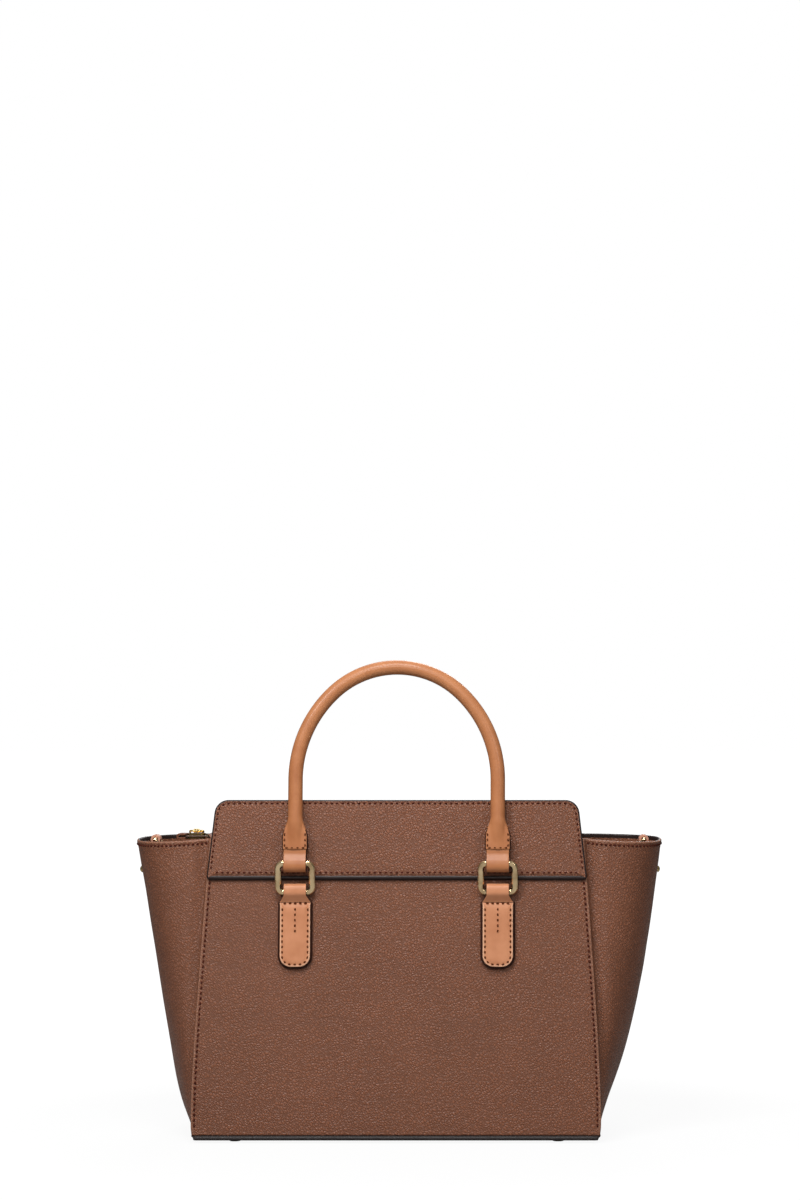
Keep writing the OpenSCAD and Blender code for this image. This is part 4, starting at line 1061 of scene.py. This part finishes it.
def handle_run(step):
    """The handle's middle line in its own frame, from one tab over the arch to the other."""
    leg = [(HANDLE_X, z) for z in np.arange(TAB_LOW, ARC_Z, step)]
    side = [(HANDLE_X - SIDE_ARC + SIDE_ARC * math.cos(a), ARC_Z + SIDE_ARC * math.sin(a))
            for a in np.linspace(0, ARC_MEET, int(SIDE_ARC * ARC_MEET / step))]
    top = [(TOP_ARC * math.cos(a), ARC_Z + ARC_RISE + TOP_ARC * math.sin(a))
           for a in np.linspace(ARC_MEET, math.pi / 2,
                                int(TOP_ARC * (math.pi / 2 - ARC_MEET) / step))]
    half = leg + side[:-1] + top
    return np.array(half + [(-x, z) for x, z in half[::-1][1:]])


def section_depth(a, across, wide, ridge, bulk, above):
    """Half the thickness of a handle at an angle round its section: a flat tab with thin edges,
    a stitched channel and a ridge down its middle, which grows into the round grip."""
    edge = wide - abs(across)
    flat = TAB_DEPTH * min(1, edge / TAB_ROUND) ** 0.5
    flat -= CHANNEL * math.exp(-((edge - CHANNEL_IN) / CHANNEL_HALF) ** 2)
    arc = ridge * math.sqrt(max(0, 1 - (across / RIDGE_HALF) ** 2))
    shaped = math.log(math.exp(flat / RIDGE_BLEND) + math.exp(arc / RIDGE_BLEND)) * RIDGE_BLEND
    shaped *= min(1, edge / EDGE_THIN) ** 0.5
    deep = shaped + ((GRIP_R * abs(math.sin(a)) - shaped)
                     * eased(above, GRIP_START - GRIP_ROUND, GRIP_START))
    return deep - SEAM_GROOVE * math.exp(-((a - math.pi / 2) / SEAM_ANGLE) ** 2) * bulk


run = handle_run(1.0 * MM)
ahead = unit(np.gradient(run, axis=0))
sideways = np.stack([ahead[:, 1], -ahead[:, 0]], 1)
length = run_of(run)
above = TAB_LOW + np.minimum(length, length[-1] - length)
bulk = eased(above, TAB_HIGH - 1 * MM, GRIP_START)
wide = TAB_HALF + (GRIP_R - TAB_HALF) * bulk
ridge = RIDGE_LOW + (GRIP_R - RIDGE_LOW) * eased(above, TAB_LOW, GRIP_START - 2 * MM)
roll = []
for k in range(len(run)):
    for j in range(SECTORS):
        a = 2 * math.pi * j / SECTORS
        ca, sa = math.cos(a), math.sin(a)
        across = wide[k] * math.copysign(abs(ca) ** (1 + 0.25 * (1 - bulk[k])), ca)
        deep = section_depth(a, across, wide[k], ridge[k], bulk[k], above[k])
        x, z = run[k] + sideways[k] * across
        roll.append(Vector((x, math.copysign(deep, sa) if abs(sa) > 1e-6 else 0, z)))
wear_and_highlight = np.repeat(0.3 * eased(above, 60 * MM, 110 * MM), SECTORS)
edge_sectors = [j for j in range(SECTORS)
                if min(j, SECTORS - 1 - j, abs(j - SECTORS // 2), abs(j + 1 - SECTORS // 2)) < 3]
index = [1 if above[k] < TAB_HIGH + 5 * MM and j in edge_sectors else 0
         for k in range(len(run) - 1) for j in range(SECTORS)] + [1, 1]
tab_line, tab_turn = fold(TAB_TAIL, STRAP_T, FOLD_R - STRAP_T / 2 + PLAY)
tab_line[:, 0] = np.where(tab_line[:, 1] < -PINCH, np.sign(tab_line[:, 0]) * STRAP_T / 2,
                          tab_line[:, 0])
for side_name, back in FACES:
    frame_of = grip_frame(back)
    turned = frame_of.to_3x3()
    body = f"{side_name}_handle"
    piece(f"{side_name}_handle_roll",
          ([frame_of @ p for p in roll], tube_faces(len(run), SECTORS), index, wear_and_highlight),
          [tan, tan_edge], body, [body])
    first = int(GRIP_START / MM)
    sew(f"{side_name}_handle_stitches_seam",
        [frame_of @ Vector((x, GRIP_R - 0.3 * MM, z)) for x, z in run[first:len(run) - first]],
        turned @ Vector((0, 1, 0)), thread_tan, body, width=0.8 * MM)
    for end_name, sx in SIDES:
        x0 = sx * HANDLE_X * (-1 if back else 1)
        centres = [frame_of @ Vector((x0, -o, -s)) for o, s in tab_line]
        normals = [turned @ Vector((0, -no, -ns)) for no, ns in tab_turn]
        piece(f"{side_name}_{end_name}_handle_fold", strap(centres, normals, NECK_HALF, STRAP_T),
              [tan, tan_edge], body, [body])
        for face in (-1, 1):
            rows = {f"{face + 1}0": [(x0 - TAB_ROW, TAB_DEPTH - 0.1 * MM, z) for z in TAB_ROW_Z],
                    f"{face + 1}2": [(x0 + TAB_ROW, TAB_DEPTH - 0.1 * MM, z) for z in TAB_ROW_Z],
                    f"cross_{face + 1}": [(x0 + x, TAB_DEPTH - 0.05 * MM, CROSS_ROW_Z)
                                          for x in CROSS_ROW]}
            for row_name, row in rows.items():
                sew(f"{side_name}_{end_name}_tab_stitches_{row_name}",
                    [frame_of @ Vector((x, face * y, z)) for x, y, z in row],
                    turned @ Vector((0, face, 0)), thread_tan, body,
                    length=2.1 * MM, width=1.15 * MM)
cord = raw_fibre("handle_cord", "#b9a688", "#8f7c60", "TexWave",
                 {"Scale": 180.0, "Distortion": 1.0}, bands_direction="DIAGONAL")
finish_nodes(cord, "front_handle_core", "back_handle_core")

# Zip
# Metal teeth on woven tape between two leather facings, each sewn to its panel below the rim.
# The slider rests at the left end, past the front row's last tooth.
ZIP_LEFT = 137 * MM
ZIP_RIGHT = 110 * MM
TAPE_T = 0.7 * MM
TAPE_Z = RIM_Z + TAPE_T / 2
FACING_T = 1.6 * MM
# Where a facing hangs from its panel, how much narrower it is there, its upper fold, and how far
# from the middle of the bag it ends, beside the teeth
FLAP_Y = 47.606 * MM
FLAP_Z = 205 * MM
FLAP_IN = 11 * MM
FOLD_Y = 12 * MM
FLAP_END = 5 * MM
FLAP_RISE = TAPE_Z - FLAP_Z
FLAP_SLANT = math.hypot(FLAP_Y - FOLD_Y, FLAP_RISE)
FLAP_TOTAL = FLAP_SLANT + FOLD_Y - FLAP_END
ZIP_SEAM = 2.2 * MM
TAPE_IN = 2.01 * MM
TAIL_LEFT = 158.2 * MM
TAIL_RIGHT = 126.4 * MM
TAIL_HALF = 8 * MM
TAPE_GAP = 0.6 * MM
TAB_REACH = 5 * MM
FLAP_LIP = [(0.3, -1.6), (0.0, -1.4), (0.0, -0.6), (0.15, -0.15, 0.5), (0.7, 0.0, 0.5),
            (1.6, -0.03), (2.2, -0.12), (2.8, 0), (4.5, 0.03)]
TAPE_EDGE = [(0.05, -0.7), (0.0, -0.5), (0.0, -0.2), (0.05, 0), (0.5, 0), (1.2, 0)]
tape = plain_weave("zip_tape_weave", "#5f4434", "#4a3325", 0.9, 0.1)
for side_name, back in FACES:
    turn = -1 if back else 1
    left, right = (ZIP_RIGHT, ZIP_LEFT) if back else (ZIP_LEFT, ZIP_RIGHT)
    body = f"{side_name}_zip_flap"

    def on_flap(x, w, out, turn=turn, back=back):
        """Across, and from the hinge over the fold to the edge beside the teeth."""
        share = min(max(w / FLAP_SLANT, 0), 1)
        y = -FLAP_Y + (FLAP_Y - FOLD_Y) * share + max(0, w - FLAP_SLANT)
        tilt = (math.atan2(FLAP_RISE, FLAP_Y - FOLD_Y)
                * (1 - eased(w, FLAP_SLANT - 3 * MM, FLAP_SLANT + 3 * MM)))
        sag = math.sin(math.pi * share) * (0.7 * MM + waver((x * 30, w * 30, back), 0.5))
        thick = FACING_T + out
        return (turn * x, turn * (y - thick * math.sin(tilt)),
                FLAP_Z + FLAP_RISE * share + thick * math.cos(tilt) - sag)
    hem = [(-left + FLAP_IN, 0), (right - FLAP_IN, 0)]
    side = [(right - FLAP_IN, 0), (right, FLAP_SLANT), (right, FLAP_TOTAL)]
    inner = [(right, FLAP_TOTAL), (-left, FLAP_TOTAL)]
    other = [(-left, FLAP_TOTAL), (-left, FLAP_SLANT), (-left + FLAP_IN, 0)]
    sides = [along(hem, 70), along(side, 24), along(inner, 70), along(other, 24)]
    piece(f"{side_name}_zip_facing_leather", cut_leather(sides, [FLAP_LIP] * 4, 3, on_flap),
          [brown, edge_paint], body, [f"{side_name}_zip_facing"])
    sew(f"{side_name}_zip_stitches",
        [on_flap(x, FLAP_TOTAL - ZIP_SEAM, -0.1 * MM)
         for x in np.linspace(-left + 2 * MM, right - 2 * MM, 80)],
        (0, 0, 1), thread_brown, body, pitch=3.2 * MM, length=2.1 * MM)
# Each strip of tape: its name, its left and right end, and its front and back edge
for name, x0, x1, y0, y1 in (
        ("front_tape_weave", -ZIP_LEFT, ZIP_RIGHT, -FOLD_Y, -TAPE_IN),
        ("back_tape_weave", -ZIP_LEFT, TAIL_RIGHT, TAPE_IN, FOLD_Y),
        ("back_tape_left_far", -TAIL_LEFT, -ZIP_LEFT, TAPE_IN, TAIL_HALF),
        ("back_tape_left_near", -TAIL_LEFT, -ZIP_LEFT - TAPE_GAP, -TAIL_HALF, -TAPE_IN),
        ("back_tape_right_near", ZIP_RIGHT + TAPE_GAP, TAIL_RIGHT, -FOLD_Y, -TAPE_IN),
        ("back_tape_left_end", -TAIL_LEFT, -TAIL_LEFT + TAB_REACH, -TAIL_HALF, TAIL_HALF),
        ("back_tape_right_end", TAIL_RIGHT - 0.9 * MM, TAIL_RIGHT, -FOLD_Y, FOLD_Y)):
    side_name = name.split("_")[0]
    strip = four_sides([(x0, y0), (x1, y0), (x1, y1), (x0, y1)], 60, 6)
    made = cut_leather(strip, [TAPE_EDGE] * 4, 0, lambda x, y, out: (x, y, TAPE_Z + out))
    piece(name, made[:2], [tape], f"{side_name}_zip_flap", [f"{side_name}_zip_tape"])
# The end tab is a strap folded round the left end of the tapes
tab_low, tab_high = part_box("zip_end_tab")
half_t = (tab_high.z - tab_low.z) / 2 - FACING_T / 2
centres = [(-TAIL_LEFT + TAB_REACH * (1 - k / 8), 0, RIM_Z + half_t) for k in range(9)]
centres += [(-TAIL_LEFT - (half_t - 0.45 * MM) * math.sin(a), 0, RIM_Z + half_t * math.cos(a))
            for a in np.linspace(0, math.pi, 13)[1:-1]]
centres += [(-TAIL_LEFT + TAB_REACH * k / 8, 0, RIM_Z - half_t) for k in range(9)]
ahead = np.gradient(np.array(centres), axis=0)
normals = np.stack([ahead[:, 2], np.zeros(len(ahead)), -ahead[:, 0]], 1)
piece("zip_end_tab_leather",
      strap(centres, normals, (tab_high.y - tab_low.y) / 2, FACING_T * 0.9)[:2], [brown],
      "back_zip_flap", ["zip_end_tab"])
finish_nodes(gold, "front_zip_teeth", "back_zip_teeth", "zip_slider", "zip_puller")

# Strap loops, rivets and D-rings in the wing tips
# A short pale strap is folded over each D-ring's bar, and a domed rivet holds its two legs to the
# inside of the wing. They take a shoulder strap.
LOOP_X = 175.1 * MM
LOOP_Z = 208.7 * MM
LOOP_T = 1.8 * MM
LOOP_HALF = 5.5 * MM
LOOP_LEGS = 28 * MM
LOOP_R = 1.7 * MM + LOOP_T / 2
LOOP_PINCH = LOOP_R * 1.7
# A strap of a paler, pinker tan
blush = smooth_leather("pink_tan_leather", "#b0826e", "#a37360", "#d8b396", 0.4)
line = [(LOOP_T / 2, -z) for z in np.linspace(LOOP_LEGS, LOOP_PINCH, 20)]
line += [(LOOP_R * math.cos(a), LOOP_R * math.sin(a))
         for a in np.linspace(math.radians(-32), math.radians(212), 33)]
line += [(-LOOP_T / 2, -z) for z in np.linspace(LOOP_PINCH, LOOP_LEGS, 20)]
line = np.array(line)
for _ in range(2):
    line[1:-1] = (line[:-2] + 2 * line[1:-1] + line[2:]) / 4
for side_name, sx in SIDES:
    centres = [(sx * (LOOP_X + x), 0, LOOP_Z + z) for x, z in line]
    normals = [(sx * a[1], 0, -a[0]) for a in np.gradient(line, axis=0)]
    piece(f"{side_name}_strap_loop_leather", strap(centres, normals, LOOP_HALF, LOOP_T)[:2],
          [blush], "bag", [f"{side_name}_strap_loop"])
finish_nodes(gold, "left_rivet", "right_rivet")
finish_nodes(antique, "left_d_ring", "right_d_ring")
